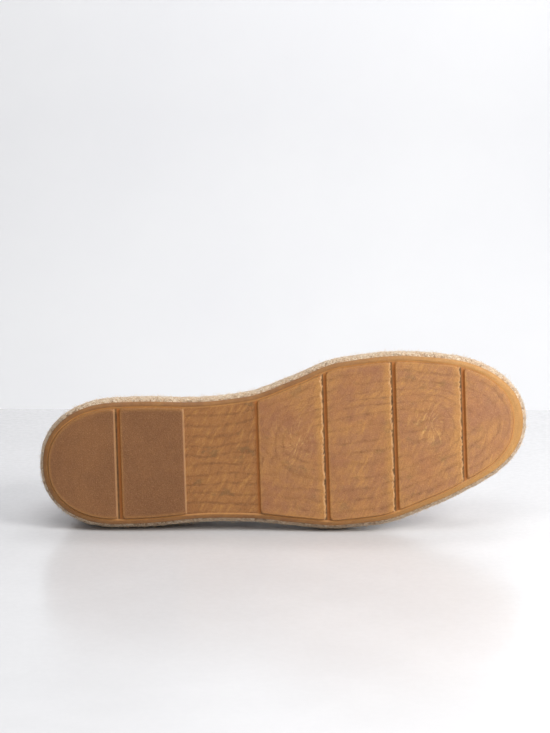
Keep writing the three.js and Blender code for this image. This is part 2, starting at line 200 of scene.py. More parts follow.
def shoe_pose():
    """The turn and the shift that take the standing shoe to where it lies.

    The mounts' axis is the tread's normal, so its opposite is the shoe's up. The line between
    the two mounts, turned by its own slant in the shoe, gives the shoe's x.
    """
    mounts = {mount["name"]: mount for mount in frame["record"]["mounts"]}
    heel = np.array(mounts["heel_pad"]["pos_m"])
    ball = np.array(mounts["ball_pad"]["pos_m"])
    up = -np.array(mounts["heel_pad"]["axis"])
    up /= np.linalg.norm(up)
    slant = np.arctan2(*(BALL_MOUNT - HEEL_MOUNT)[[1, 0]])
    line = (ball - heel) / np.linalg.norm(ball - heel)
    along = np.cos(slant) * line - np.sin(slant) * np.cross(up, line)
    turn = np.stack([along, np.cross(up, along), up], axis=1)
    return turn, heel - turn @ HEEL_MOUNT


TURN, SHIFT = shoe_pose()


def lay(points):
    """Take points of the standing shoe to where it lies on its outer side."""
    return points @ TURN.T + SHIFT


def smooth_step(low, high, value):
    """0 below low, 1 above high, and a smooth climb between them."""
    t = np.clip((value - low) / (high - low), 0, 1)
    return t * t * (3 - 2 * t)


def bell(*offsets):
    """A bell curve: 1 where every offset is nothing, and less from there by their squares."""
    return np.exp(-sum(offset**2 for offset in offsets))


def halve(test, low, high, rounds=40):
    """Close in on the place between low and high where a test turns from true to false."""
    for _ in range(rounds):
        middle = (low + high) / 2
        passed = test(middle)
        low = np.where(passed, middle, low)
        high = np.where(passed, high, middle)
    return low, high


def curve_through(table, column, unit=MM, place_unit=MM):
    """A smooth curve through a table's places and one of its columns.

    Between two rows it is a cubic. Its slope at a row is the harmonic mean of the slopes on
    both sides, or nothing where they differ in sign, so it never overshoots a row.
    """
    at = np.array(table["at"]) * place_unit
    value = np.array(table[column]) * unit
    slope = np.diff(value) / np.diff(at)
    before, after = slope[:-1], slope[1:]
    same_way = before * after > 0
    mean = 2 * before * after / np.where(same_way, before + after, 1)
    tangent = np.concatenate([slope[:1], np.where(same_way, mean, 0), slope[-1:]])

    def curve(x):
        x = np.clip(x, at[0], at[-1])
        i = np.clip(np.searchsorted(at, x, side="right") - 1, 0, len(at) - 2)
        span = at[i + 1] - at[i]
        t = (x - at[i]) / span
        ends = value[i] * (1 + 2 * t) * (1 - t) ** 2 + value[i + 1] * t * t * (3 - 2 * t)
        return ends + span * (tangent[i] * t * (1 - t) ** 2 - tangent[i + 1] * t * t * (1 - t))

    return curve


inward_at = curve_through(TREAD, "inward")
half_width_at = curve_through(TREAD, "half")
jute_thickness_at = curve_through(JUTE, "thick")
jute_out_at = curve_through(JUTE_SIDE, "out", place_unit=1)
ridge_height_at = curve_through(RIDGE, "height")
belly_at = curve_through(RIBS, "belly")
rise_at = curve_through(RIBS, "rise", unit=1)
crown_at = curve_through(RIBS, "crown", unit=1)
collar_height_at = curve_through(COLLAR, "height")


def pad_face_at(x):
    """The underside of the pads: flat as far as the ball, then curving up to the toe."""
    past = np.maximum(0, x - SPRING_START) / (TREAD_END - SPRING_START)
    return TOE_SPRING * past**2


def plate_face_at(x):
    """The underside of the rubber's plate: the pads' face raised by their height."""
    return pad_face_at(x) + PAD_HEIGHT


def jute_face_at(x):
    """The underside of the jute: the plate's top and a gap."""
    return plate_face_at(x) + PLATE_THICKNESS + FIT_GAP


def footbed_at(x):
    """Where the upper and the insole start: the jute's top and a gap."""
    return jute_face_at(x) + jute_thickness_at(x) + FIT_GAP


def tread_point(angle):
    """The tread's outline, from 0 at the heel, along the outer side, to pi at the toe.

    x follows the cosine of the angle, and y is the half width, rounded off at both ends by
    quarter ellipses that are a little full, beside the middle line.
    """
    x = TREAD_START + TREAD_LENGTH / 2 * (1 - np.cos(angle))

    def round_off(distance, length):
        past = np.clip(1 - distance / length, 0, 1)
        return (1 - past**END_FULLNESS) ** (1 / END_FULLNESS)

    half = half_width_at(x) * round_off(x - TREAD_START, HEEL_ROUND)
    half = half * round_off(TREAD_END - x, TOE_ROUND)
    side = np.where(np.sin(angle) >= 0, 1, -1)
    return np.stack([x, side * half - inward_at(x)], axis=-1)


def outward_at(angle):
    """The level direction that points out of the outline, square to it."""
    along = tread_point(angle + TINY) - tread_point(angle - TINY)
    along /= np.linalg.norm(along, axis=-1, keepdims=True)
    return np.stack([-along[..., 1], along[..., 0]], axis=-1)


def outline_point(angle, out):
    """A level point of the outline, moved out of it by a distance."""
    return tread_point(angle) + outward_at(angle) * np.asarray(out)[..., None]


def angle_at(x):
    """The outline's angle at an x: the arc cosine that undoes tread_point."""
    return np.arccos(np.clip(1 - 2 * (x - TREAD_START) / TREAD_LENGTH, -1, 1))


def side_station(side, angle):
    """The outline's angle on a side, for an angle that is counted from the heel."""
    return angle if side > 0 else 2 * np.pi - angle


def even_angles(steps):
    """Angles from heel to toe that divide the outline, both sides taken together, evenly."""
    fine = np.linspace(0, np.pi, 4001)
    lines = (tread_point(fine), tread_point(-fine))
    reach = sum(np.linalg.norm(np.diff(line, axis=0), axis=-1) for line in lines) / 2
    passed = np.concatenate([[0], np.cumsum(reach)])
    return np.interp(np.linspace(0, passed[-1], steps + 1), passed, fine)


def ridge_point(station):
    """The top of the last above a station of the lower edge."""
    x = RIDGE_HEEL + (RIDGE_TOE - RIDGE_HEEL) * (1 - np.cos(station)) / 2
    return np.stack([x, -RIDGE_SWING * inward_at(x), ridge_height_at(x)], axis=-1)


def form_point(station, across):
    """The outer face of the upper.

    A station runs from 0 at the heel to pi at the toe. across runs from 1 at the outer lower
    edge, over 0 on the ridge, to -1 at the inner lower edge. Each side is a cubic rib, which
    leaves the lower edge upright with a small belly, and reaches the ridge level with it.
    """
    past_end = (station < 0) | (station > np.pi)
    station = np.where(station > np.pi, 2 * np.pi - station, np.abs(station))
    across = np.where(past_end, -across, across)
    angle = np.where(across >= 0, station, 2 * np.pi - station)
    foot = outline_point(angle, np.full(np.shape(angle), -UPPER_INSET))
    low = np.concatenate([foot, footbed_at(foot[..., :1])], axis=-1)
    top = ridge_point(station)
    climb = (top - low)[..., 2:]
    outward = outward_at(angle) * belly_at(low[..., :1])
    upright = low + np.concatenate([outward, rise_at(low[..., :1]) * climb], axis=-1)
    inward = (top - low)[..., :2]
    step = 1 * MM
    x = top[..., :1]
    slope = (ridge_height_at(x + step) - ridge_height_at(x - step)) / (2 * step)
    sunk = np.concatenate([inward, inward[..., :1] * slope], axis=-1)
    level = top - crown_at(low[..., :1]) * sunk
    t = (1 - np.abs(across))[..., None]
    lower = low * (1 - t) ** 3 + upright * 3 * t * (1 - t) ** 2
    return lower + level * 3 * t**2 * (1 - t) + top * t**3


def form_normal(station, across):
    """The direction out of the upper's face, from steps along it and across it."""
    along = form_point(station + TINY, across) - form_point(station - TINY, across)
    over = form_point(station, across + TINY) - form_point(station, across - TINY)
    normal = np.cross(along, over)
    return normal / np.linalg.norm(normal, axis=-1, keepdims=True)


def collar_share(station, side):
    """Where a rib meets the collar's edge, found by halving, or 0 where it stays below it."""

    def above(share):
        point = form_point(station, side * share)
        return point[..., 2] > collar_height_at(point[..., 0])

    edge, ridge = np.ones_like(station), np.zeros_like(station)
    low, high = halve(lambda share: ~above(share), edge, ridge)
    return np.where(above(ridge), (low + high) / 2, 0)


def throat_station():
    """The station where the ridge dips under the collar's edge."""

    def is_open(station):
        return collar_share(np.array([station]), 1)[0] > 0

    return float(halve(is_open, np.pi / 2, np.pi)[1])


THROAT = throat_station()


def wander(x, y, seed, size, octaves=3):
    """A smooth irregular height between about -1 and 1: a sum of slanting waves.

    Each octave adds four sine waves in directions and phases that the seed fixes, half as
    high and twice as fine as the octave before.
    """
    rng = np.random.default_rng(seed)
    total = np.zeros(np.broadcast(x, y).shape)
    for octave in range(octaves):
        for turn, phase in zip(rng.uniform(0, np.pi, 4), rng.uniform(0, 2 * np.pi, 4)):
            wave = 2 * np.pi * 2**octave / size
            total += np.sin(wave * (x * np.cos(turn) + y * np.sin(turn)) + phase) / 2**octave / 4
    return total


def grid_faces(rows, columns, closed_columns=False):
    """The quads of a grid of points, row after row, as an array of four corners each."""
    column = np.arange(columns if closed_columns else columns - 1)
    r, c = np.meshgrid(np.arange(rows - 1) * columns, column, indexing="ij")
    next_r, next_c = r + columns, (c + 1) % columns
    corners = [r + c, r + next_c, next_r + next_c, next_r + c]
    return np.stack(corners, axis=-1).reshape(-1, 4)


def tubes(paths, radii, sides, sideways):
    """Round cords along many paths at once.

    At each point of a path a ring of points is set round it, on the circle that the direction
    sideways and the path's own direction give. A radius of nothing closes an end.
    """
    count, length = paths.shape[:2]
    along = np.gradient(paths, axis=1)
    along /= np.linalg.norm(along, axis=-1, keepdims=True) + 1e-12
    across = np.cross(along, sideways)
    across /= np.linalg.norm(across, axis=-1, keepdims=True) + 1e-12
    upward = np.cross(across, along)
    turn = np.linspace(0, 2 * np.pi, sides, endpoint=False)
    ring = across[:, :, None] * np.cos(turn)[:, None] + upward[:, :, None] * np.sin(turn)[:, None]
    points = paths[:, :, None] + ring * np.broadcast_to(radii, (count, length))[:, :, None, None]
    faces = grid_faces(length, sides, closed_columns=True)
    faces = faces[None] + (np.arange(count) * length * sides)[:, None, None]
    return points.reshape(-1, 3), faces.reshape(-1, 4)


def make_piece(name, points, faces, materials, face_material=None, **fields):
    """A smooth closed mesh object from arrays, laid where the shoe lies.

    fields are values per point. They are kept as attributes of the faces' corners, so that
    they may jump at a seam, and the materials read them. Points that coincide at seams and
    poles are merged, and the faces are turned outwards.
    """
    mesh = bpy.data.meshes.new(name)
    mesh.vertices.add(len(points))
    mesh.vertices.foreach_set("co", lay(points).ravel())
    mesh.loops.add(faces.size)
    mesh.loops.foreach_set("vertex_index", faces.ravel().astype(np.int32))
    mesh.polygons.add(len(faces))
    mesh.polygons.foreach_set("loop_start", np.arange(0, faces.size, 4, dtype=np.int32))
    for material in materials:
        mesh.materials.append(material)
    if face_material is not None:
        mesh.polygons.foreach_set("material_index", face_material.astype(np.int32))
    for field, values in fields.items():
        data = mesh.attributes.new(field, "FLOAT_VECTOR", "CORNER").data
        data.foreach_set("vector", values[faces.ravel()].ravel().astype(np.float32))
    mesh.update(calc_edges=True)
    merge_seams(mesh)
    mesh.polygons.foreach_set("use_smooth", np.ones(len(mesh.polygons), dtype=bool))
    piece = bpy.data.objects.new(name, mesh)
    bpy.context.scene.collection.objects.link(piece)
    return piece


def merge_seams(mesh):
    """Merge the points that lie on each other and turn the faces outwards."""
    shape = bmesh.new()
    shape.from_mesh(mesh)
    bmesh.ops.remove_doubles(shape, verts=shape.verts, dist=0.002 * MM)
    bmesh.ops.dissolve_degenerate(shape, edges=shape.edges, dist=0.001 * MM)
    bmesh.ops.recalc_face_normals(shape, faces=shape.faces)
    shape.to_mesh(mesh)
    shape.free()


def dress(piece, slot, *nodes):
    """Tie a piece to the shoe and hide the model's nodes that it stands for. slot is not used."""
    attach(piece, BODY)
    if nodes:
        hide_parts(*nodes)


class Shader:
    """Builds a node tree, one node for each call."""

    def __init__(self, tree):
        self.tree = tree

    def put(self, inputs, values):
        """Link each value that is a socket to the input of its name, and set the others."""
        for name, value in values.items():
            if isinstance(value, bpy.types.NodeSocket):
                self.tree.links.new(value, inputs[name])
            else:
                inputs[name].default_value = value

    def add(self, kind, inputs=None, **settings):
        """A node with its settings and its inputs."""
        node = self.tree.nodes.new(kind)
        for name, value in settings.items():
            setattr(node, name, value)
        self.put(node.inputs, inputs or {})
        return node

    def math(self, operation, a, b=0.0):
        return self.add("ShaderNodeMath", {0: a, 1: b}, operation=operation).outputs[0]

    def plus(self, a, b):
        return self.math("ADD", a, b)

    def minus(self, a, b):
        return self.math("SUBTRACT", a, b)

    def times(self, value, *others):
        for other in others:
            value = self.math("MULTIPLY", value, other)
        return value

    def ramp(self, value, low, high, low_out=0.0, high_out=1.0):
        """Take a value from one range to another with soft ends."""
        labels = ("Value", "From Min", "From Max", "To Min", "To Max")
        ranges = dict(zip(labels, (value, low, high, low_out, high_out)))
        return self.add("ShaderNodeMapRange", ranges, interpolation_type="SMOOTHSTEP").outputs[0]

    def mix(self, share, a, b):
        """Mix two colours."""
        return self.add("ShaderNodeMix", {0: share, 6: a, 7: b}, data_type="RGBA").outputs[2]

    def blend(self, share, a, b):
        """Mix two numbers."""
        return self.add("ShaderNodeMix", {0: share, 2: a, 3: b}).outputs[0]

    def field(self, name):
        """A field of the piece, as three numbers in one."""
        return self.add("ShaderNodeAttribute", attribute_name=name).outputs["Vector"]

    def parts(self, name):
        """The three numbers of a field."""
        return self.add("ShaderNodeSeparateXYZ", {0: self.field(name)}).outputs

    def noise(self, place, scale, detail=3.0, roughness=0.55, distortion=0.0):
        """Smooth noise between 0 and 1."""
        labels = ("Vector", "Scale", "Detail", "Roughness", "Distortion")
        values = dict(zip(labels, (place, scale, detail, roughness, distortion)))
        return self.add("ShaderNodeTexNoise", values).outputs["Fac"]

    def plan_noise(self, *values, **named):
        """Noise over the standing shoe's own coordinates in millimetres."""
        return self.noise(self.field("plan"), *values, **named)

    def bump(self, height, distance, strength):
        values = {"Height": height, "Distance": distance, "Strength": strength}
        return self.add("ShaderNodeBump", values).outputs[0]

    def group(self, tree, inputs):
        return self.add("ShaderNodeGroup", inputs, node_tree=tree).outputs

    def grain(self, blotch_size, grain_size):
        """The blotches and the fine grain of the shared group."""
        sizes = {"Blotch size": blotch_size, "Grain size": grain_size}
        return self.group(grain_group(), sizes)


def new_material(name):
    material = bpy.data.materials.new(name)
    material.use_nodes = True
    shader = Shader(material.node_tree)
    return material, shader, material.node_tree.nodes["Principled BSDF"]


def new_group(name, inputs, outputs):
    """An empty shader group with its sockets, given as name to socket type and default."""
    tree = bpy.data.node_groups.new(name, "ShaderNodeTree")
    for label, (kind, default) in inputs.items():
        socket = tree.interface.new_socket(name=label, in_out="INPUT", socket_type=kind)
        if default is not None:
            socket.default_value = default
    for label, kind in outputs.items():
        tree.interface.new_socket(name=label, in_out="OUTPUT", socket_type=kind)
    shader = Shader(tree)
    return tree, shader, shader.add("NodeGroupInput").outputs, shader.add("NodeGroupOutput").inputs


def strand_group():
    """Fine fibres that run one way: noise stretched along its first axis.

    Fibre lies between 0 in the gaps and 1 on a fibre. Tuft is a coarser change along them.
    """
    name = "Fibre strands"
    if name in bpy.data.node_groups:
        return bpy.data.node_groups[name]
    inputs = {"Place": ("NodeSocketVector", None), "Fineness": ("NodeSocketFloat", 1.0)}
    outputs = {"Fibre": "NodeSocketFloat", "Tuft": "NodeSocketFloat"}
    tree, shader, given, out = new_group(name, inputs, outputs)
    stretch = {"Vector": given["Place"], "Scale": (0.22, 2.0, 1.0)}
    drawn = shader.add("ShaderNodeMapping", stretch).outputs[0]
    fine = shader.noise(drawn, given["Fineness"], detail=4.0, roughness=0.6)
    tree.links.new(shader.ramp(fine, 0.36, 0.64), out["Fibre"])
    coarse = shader.times(given["Fineness"], 0.22)
    tree.links.new(shader.ramp(shader.noise(given["Place"], coarse), 0.3, 0.7), out["Tuft"])
    return tree


def grain_group():
    """Blotches and fine grain on Object coordinates, both between 0 and 1."""
    name = "Blotch and grain"
    if name in bpy.data.node_groups:
        return bpy.data.node_groups[name]
    inputs = {"Blotch size": ("NodeSocketFloat", 40.0), "Grain size": ("NodeSocketFloat", 900.0)}
    outputs = {"Blotch": "NodeSocketFloat", "Grain": "NodeSocketFloat"}
    tree, shader, given, out = new_group(name, inputs, outputs)
    place = shader.add("ShaderNodeTexCoord").outputs["Object"]
    blotch = shader.noise(place, given["Blotch size"], detail=5.0, roughness=0.6)
    grain = shader.noise(place, given["Grain size"], detail=3.0, roughness=0.6)
    tree.links.new(shader.ramp(blotch, 0.32, 0.68), out["Blotch"])
    tree.links.new(shader.ramp(grain, 0.3, 0.7), out["Grain"])
    return tree


def paint(red, green, blue):
    """A screen colour from 0 to 255, as the linear colour that a shader takes."""
    share = np.array([red, green, blue]) / 255
    linear = np.where(share <= 0.04045, share / 12.92, ((share + 0.055) / 1.055) ** 2.4)
    return (*linear.tolist(), 1.0)


def pad_inset(angle):
    """How far the pads stop short of the outline: most at the toe, least on the outer side."""
    outward = outward_at(angle)
    inner = np.maximum(0, -outward[..., 1]) ** 2
    toe = np.maximum(0, outward[..., 0]) ** 2 * (np.cos(angle) < 0)
    outer = PAD_INSET["outer"]
    return outer + (PAD_INSET["inner"] - outer) * inner + (PAD_INSET["toe"] - outer) * toe


def pad_edge(angle):
    """The pads' own outline: the tread's, moved in by the pads' inset."""
    return outline_point(angle, -pad_inset(angle))


def pad_edge_angles(x, side):
    """The angles at which the pads' edge has these x on one side, found by halving."""

    def is_behind(angle):
        return pad_edge(side_station(side, angle))[..., 0] <= x

    low, high = halve(is_behind, np.zeros_like(x), np.full_like(x, np.pi), 48)
    angle = (low + high) / 2
    angle[0], angle[-1] = 0, np.pi
    return side_station(side, angle)


def sole_rows(steps):
    """The x of the sole's cross rows: even steps, and close ones at the grooves' walls."""
    even = pad_edge(even_angles(steps))[:, 0]
    walls = np.concatenate([GAP_STARTS, GAP_ENDS])
    fine = np.concatenate([
        (GAP_STARTS[:, None] - WALL_ROWS).ravel(),
        (GAP_ENDS[:, None] + WALL_ROWS).ravel(),
    ])
    clear = np.abs(even[:, None] - walls).min(1) > WALL_ROWS[-1] + 0.2 * MM
    clear[[0, -1]] = True
    return np.sort(np.concatenate([even[clear], fine]))


def closed_outline(curve, steps=1500):
    """A curve over the outline's angles as one closed line of close points."""
    angles = even_angles(steps)
    return curve(np.concatenate([angles, 2 * np.pi - angles[-2:0:-1]]))


def distance_to(points, line):
    """How far level points lie from the nearest point of a line."""
    blocks = np.array_split(points.reshape(-1, 2), 300)
    nearest = [np.sqrt(((block[:, None] - line) ** 2).sum(-1).min(1)) for block in blocks]
    return np.concatenate(nearest).reshape(points.shape[:-1])


def tread_relief(x, y, edge):
    """How far the pads are raised, from 0 to 1, and four masks for the rubber's colour.

    The masks say where a wall's worn slope is ragged and cream, where the rubber is golden,
    where a groove's floor lies in painted shade, and where the wall that faces the heel and
    the floor beside it are painted orange-brown as its shade. edge is the distance inside the
    pads' outline, below 0 outside it. Across the shoe each pad ends at two walls. The one that
    faces the toe is worn to a slope, and nibbled under the forefoot; the cream on it is worn
    rubber and a painted highlight where that wall catches the light. A pad's corner is rounded
    where two walls meet. The rubber is golden beside the walls, where no foot has rubbed it,
    and along the pads' outer edges and the walls that face the heel the golden band is also a
    painted highlight.
    """
    middle = (GAP_STARTS + GAP_ENDS) / 2
    before = x[..., None] < middle
    toe_wall = np.where(before, GAP_STARTS - x[..., None], 1).min(-1)
    heel_wall = np.where(before, 1, x[..., None] - GAP_ENDS).min(-1)
    forefoot = smooth_step(150 * MM, 165 * MM, x)
    bites = wander(x * 0.4, y, 5, 6 * MM) + 0.6 * wander(x * 0.4, y, 6, 2.4 * MM)
    worn = toe_wall + forefoot * 0.55 * MM * (0.35 - bites)
    wall = np.minimum(worn * 0.8, heel_wall)
    inside = PAD_CORNER - np.hypot(
        np.maximum(0, PAD_CORNER - wall),
        np.maximum(0, PAD_CORNER - edge),
    )
    raised = smooth_step(-0.1 * MM, 0.6 * MM, inside)
    slope = smooth_step(-0.25 * MM, 0.1 * MM, worn) * smooth_step(1.0 * MM, 0.5 * MM, worn)
    crumbs = smooth_step(-0.5, 0.4, wander(x, y, 7, 3.4 * MM))
    frayed_and_lit = slope * (0.5 + 0.5 * forefoot * crumbs) * smooth_step(-0.4 * MM, 0.4 * MM, edge)
    beside = smooth_step(6 * MM, 1.5 * MM, toe_wall) * smooth_step(90 * MM, 140 * MM, x)
    around = 0.7 * smooth_step(2.6 * MM, 0.4 * MM, np.minimum(edge, heel_wall))
    golden = np.maximum(beside, around) * raised
    floor = smooth_step(0.15 * MM, -0.35 * MM, worn)
    narrow = 1 - smooth_step(86 * MM, 88 * MM, x) * smooth_step(136 * MM, 134 * MM, x)
    within = smooth_step(-0.2 * MM, 0.6 * MM, edge)
    rear = smooth_step(-1.7 * MM, -1.1 * MM, heel_wall) * smooth_step(0.7 * MM, 0.1 * MM, heel_wall)
    return raised, frayed_and_lit, golden, floor * narrow * within, rear * within


def coil_rows(x, y, inside):
    """Which row of the coiled jute lies over each point, and the place along the row.

    Rows run beside the outline. Under the ball a short coil has its own middle line, so
    the rows there are ovals round it, and the places along them fan out round its ends.
    """
    start, end = CORE
    length = np.linalg.norm(end - start)
    ahead = (end - start) / length
    along = (x - start[0]) * ahead[0] + (y - start[1]) * ahead[1]
    beside = (y - start[1]) * ahead[0] - (x - start[0]) * ahead[1]
    past = along - np.clip(along, 0, length)
    away = np.hypot(past, beside)
    own = smooth_step(CORE_REACH, CORE_REACH * 0.5, away)
    depth = inside * (1 - own) + (half_width_at(x) - away) * own
    side = np.where(y + inward_at(x) > 0, 1, -1)
    fan = np.clip(along, 0, length) + CORE_FAN * np.arctan2(past, np.abs(beside))
    run = x * side * (1 - own) + (fan + start[0]) * np.where(beside > 0, 1, -1) * own
    return depth / COIL_PITCH, run / COIL_PITCH


def swirl(x, y):
    """1 at the two ends of the short coil, and less from there by a bell curve."""
    near = [np.hypot(x - end[0], y - end[1]) for end in CORE]
    return bell(np.minimum(*near) / SWIRL_REACH)


def build_outsole(steps, columns):
    """The rubber sole as one closed grid whose rows run across the shoe.

    Each row starts at one place along the pads' outline. It runs over the hidden top, down
    the plate's side, in over the rim's bead to the pad's wall, and straight across the pad.
    """
    x = sole_rows(steps)
    angles = {side: pad_edge_angles(x, side) for side in (1, -1)}
    edges = {side: pad_edge(angles[side]) for side in (1, -1)}
    pad_line = closed_outline(pad_edge)
    outline = closed_outline(tread_point)

    def side_parts(side):
        """A side's columns, from the middle of the top to the pad's edge, and their fields."""
        angle = angles[side][:, None]
        heights = np.array(PLATE_SIDE["height"][::-1]) * MM
        outs = np.array(PLATE_SIDE["out"][::-1]) * MM
        wall = outline_point(angle + 0 * outs, np.broadcast_to(outs, (len(x), len(outs))))
        wall_z = plate_face_at(wall[..., 0]) + heights
        inset = pad_inset(angle)
        share = np.linspace(0, 1, 12)[1:-1]
        out = outs[-1] + (-inset - outs[-1]) * share
        rim = outline_point(angle + 0 * out, out)
        bead = RIM_BEAD * np.sin(np.pi * share**0.8) ** 0.7
        rim_z = plate_face_at(rim[..., 0]) - bead
        level = np.concatenate([wall, rim], axis=1)
        z = np.concatenate([wall_z, rim_z], axis=1)
        edge = np.concatenate([0 * wall_z - 3 * MM, -(inset + out)], axis=1)
        return level, z, edge

    parts = {side: side_parts(side) for side in (1, -1)}
    width = np.linalg.norm(edges[1] - edges[-1], axis=-1)[:, None]
    near = PAD_COLUMNS * np.minimum(1, width / (8 * MM))
    middle = near[:, -1:] + (width - 2 * near[:, -1:]) * np.linspace(0, 1, columns)[1:-1]
    across = np.concatenate([near, middle, width - near[:, ::-1]], axis=1)
    share = across / np.maximum(width, 1e-9)
    face = edges[1][:, None] + (edges[-1] - edges[1])[:, None] * share[..., None]
    edge = distance_to(face, pad_line)
    edge[:, [0, -1]] = 0
    raised = tread_relief(face[..., 0], face[..., 1], edge)[0]
    sag = 0.12 * MM * wander(face[..., 0], face[..., 1], 3, 45 * MM)
    grain = 0.035 * MM * wander(face[..., 0], face[..., 1], 4, 5 * MM)
    face_z = plate_face_at(face[..., 0]) - raised * (PAD_HEIGHT + sag) + grain
    top_share = np.linspace(0, 1, 6)[1:-1]
    top_from, top_to = parts[-1][0][:, :1], parts[1][0][:, :1]
    top = top_from + (top_to - top_from) * top_share[:, None]
    top_z = plate_face_at(top[..., 0]) + PLATE_THICKNESS
    level = np.concatenate([parts[1][0], face, parts[-1][0][:, ::-1], top], axis=1)
    z = np.concatenate([parts[1][1], face_z, parts[-1][1][:, ::-1], top_z], axis=1)
    edge = np.concatenate([parts[1][2], edge, parts[-1][2][:, ::-1], 0 * top_z - 3 * MM], axis=1)
    flat_x, flat_y = level[..., 0], level[..., 1]
    raised, frayed_and_lit, golden, dark, rear = tread_relief(flat_x, flat_y, edge)
    inside = distance_to(level, outline)
    row, run = coil_rows(flat_x, flat_y, inside)
    rows, count = z.shape
    plan = np.stack([flat_x, flat_y, inside], axis=-1) / MM
    return make_piece(
        "rubber_sole",
        np.concatenate([level, z[..., None]], axis=-1).reshape(-1, 3),
        grid_faces(rows, count, closed_columns=True),
        [rubber_material()],
        plan=plan.reshape(-1, 3),
        coil=np.stack([row, run, raised], axis=-1).reshape(-1, 3),
        # wear carries the golden band and the ragged cream slopes, both partly painted highlight.
        wear=np.stack([golden, frayed_and_lit, edge / MM], axis=-1).reshape(-1, 3),
        groove=np.stack([dark, rear, swirl(flat_x, flat_y)], axis=-1).reshape(-1, 3),
    )


def rubber_material():
    """Gum rubber: matt brown pads on a clearer amber plate, with the coiled jute showing.

    The jute shows as dark lines between its rows and as slanting golden strokes in them,
    most at the waist, less under the forefoot and hardly at all under the heel.
    """
    material, shader, surface = new_material("Gum rubber")
    x, _, _ = shader.parts("plan")
    coil_row, coil_run, raised = shader.parts("coil")
    # The golden band and the ragged cream slopes, both partly painted highlight, and the distance
    # inside the pads' edge.
    golden, frayed_and_lit, edge = shader.parts("wear")
    dark, rear, whirl = shader.parts("groove")
    patch = shader.grain(38.0, 1100.0)
    mottle = shader.grain(190.0, 3000.0)
    drift = shader.plan_noise(0.05, detail=3.0)
    row = shader.plus(coil_row, shader.times(drift, 1.1))
    share = shader.math("FRACT", row)
    seam = shader.ramp(shader.math("ABSOLUTE", shader.minus(share, 0.5)), 0.26, 0.5)
    lean = {0: shader.minus(shader.times(coil_run, 2.6), shader.times(row, 1.5))}
    lean[1] = shader.times(row, 0.8)
    place = shader.add("ShaderNodeCombineXYZ", lean).outputs[0]
    stroke = shader.noise(place, 1.0, detail=3.0, roughness=0.6, distortion=0.3)
    bright = shader.ramp(stroke, 0.5, 0.72)
    dull = shader.ramp(stroke, 0.5, 0.34)
    forefoot = shader.ramp(x, 128.0, 136.0)
    heel = shader.ramp(x, 95.0, 88.0)
    seen = shader.ramp(patch[0], 0.0, 1.0, 0.25, 0.65)
    clear_pad = shader.plus(shader.times(forefoot, seen), 0.06)
    clear = shader.blend(raised, 0.95, clear_pad)
    pad = shader.mix(mottle[0], paint(150, 98, 62), paint(168, 112, 68))
    gilt = shader.times(patch[0], forefoot, 0.6)
    pad = shader.mix(gilt, pad, paint(186, 134, 72))
    dusk = shader.ramp(shader.plan_noise(0.07, detail=4.0, roughness=0.7), 0.42, 0.62)
    pad = shader.mix(shader.times(dusk, forefoot, 0.5), pad, paint(150, 100, 72))
    # Painted shade: the heel's pads darker, where less of the light falls.
    pad = shader.mix(heel, pad, shader.mix(patch[0], paint(122, 80, 46), paint(136, 91, 53)))
    plate = shader.mix(patch[0], paint(150, 98, 50), paint(166, 112, 60))
    base = shader.mix(raised, plate, pad)
    # The golden band by the walls: the rubber's own unworn amber, and along the pads' edges a
    # painted highlight.
    base = shader.mix(shader.times(golden, 0.65), base, paint(186, 132, 66))
    base = shader.mix(shader.times(bright, clear, 0.6), base, paint(200, 144, 72))
    base = shader.mix(shader.times(dull, clear, 0.45), base, paint(120, 78, 42))
    whirled = shader.times(whirl, bright, 0.7)
    base = shader.mix(whirled, base, paint(224, 178, 112))
    broken = shader.ramp(shader.plan_noise(0.16, detail=3.0), 0.36, 0.62, 0.2, 0.6)
    row_line = shader.times(seam, clear, broken)
    base = shader.mix(row_line, base, paint(106, 64, 30))
    stain = shader.ramp(shader.plan_noise(0.11, detail=2.0), 0.6, 0.72)
    base = shader.mix(shader.times(stain, clear, 0.5), base, paint(96, 78, 46))
    speck = shader.ramp(mottle[1], 0.55, 0.85, 0.0, 0.3)
    base = shader.mix(speck, base, paint(106, 68, 40))
    glint = shader.ramp(mottle[1], 0.45, 0.1, 0.0, 0.3)
    base = shader.mix(glint, base, paint(206, 160, 112))
    # Painted shade: the whole tread darker towards the heel.
    base = shader.mix(shader.ramp(x, 235.0, 90.0, 0.0, 0.2), base, paint(112, 66, 32))
    rim = shader.times(shader.ramp(edge, -0.2, -1.2), 0.75)
    # Painted light: the rim lighter towards the toe, where more of the light falls.
    rim_light_toward_toe = shader.ramp(x, 150.0, 290.0)
    rim_tone = shader.mix(rim_light_toward_toe, paint(132, 90, 52), paint(200, 150, 84))
    rim_tone = shader.mix(shader.ramp(mottle[1], 0.35, 0.75, 0.0, 0.4), rim_tone, paint(128, 84, 42))
    rim_tone = shader.mix(shader.times(mottle[0], 0.4), rim_tone, paint(170, 122, 64))
    base = shader.mix(rim, base, rim_tone)
    # Painted highlight: a light line along the pads' edges that also lifts the shade in the step
    # down to the rim.
    line = shader.ramp(shader.math("ABSOLUTE", shader.plus(edge, 0.4)), 0.7, 0.15)
    base = shader.mix(shader.times(line, 0.45), base, paint(206, 146, 80))
    # Painted shade: the groove floors darkened.
    groove_floor_shade = shader.mix(mottle[0], paint(64, 44, 20), paint(110, 76, 36))
    base = shader.mix(shader.times(dark, 0.8), base, groove_floor_shade)
    # Painted shade: orange-brown on the wall that faces the heel and the floor beside it.
    base = shader.mix(shader.times(rear, 0.8), base, paint(176, 106, 42))
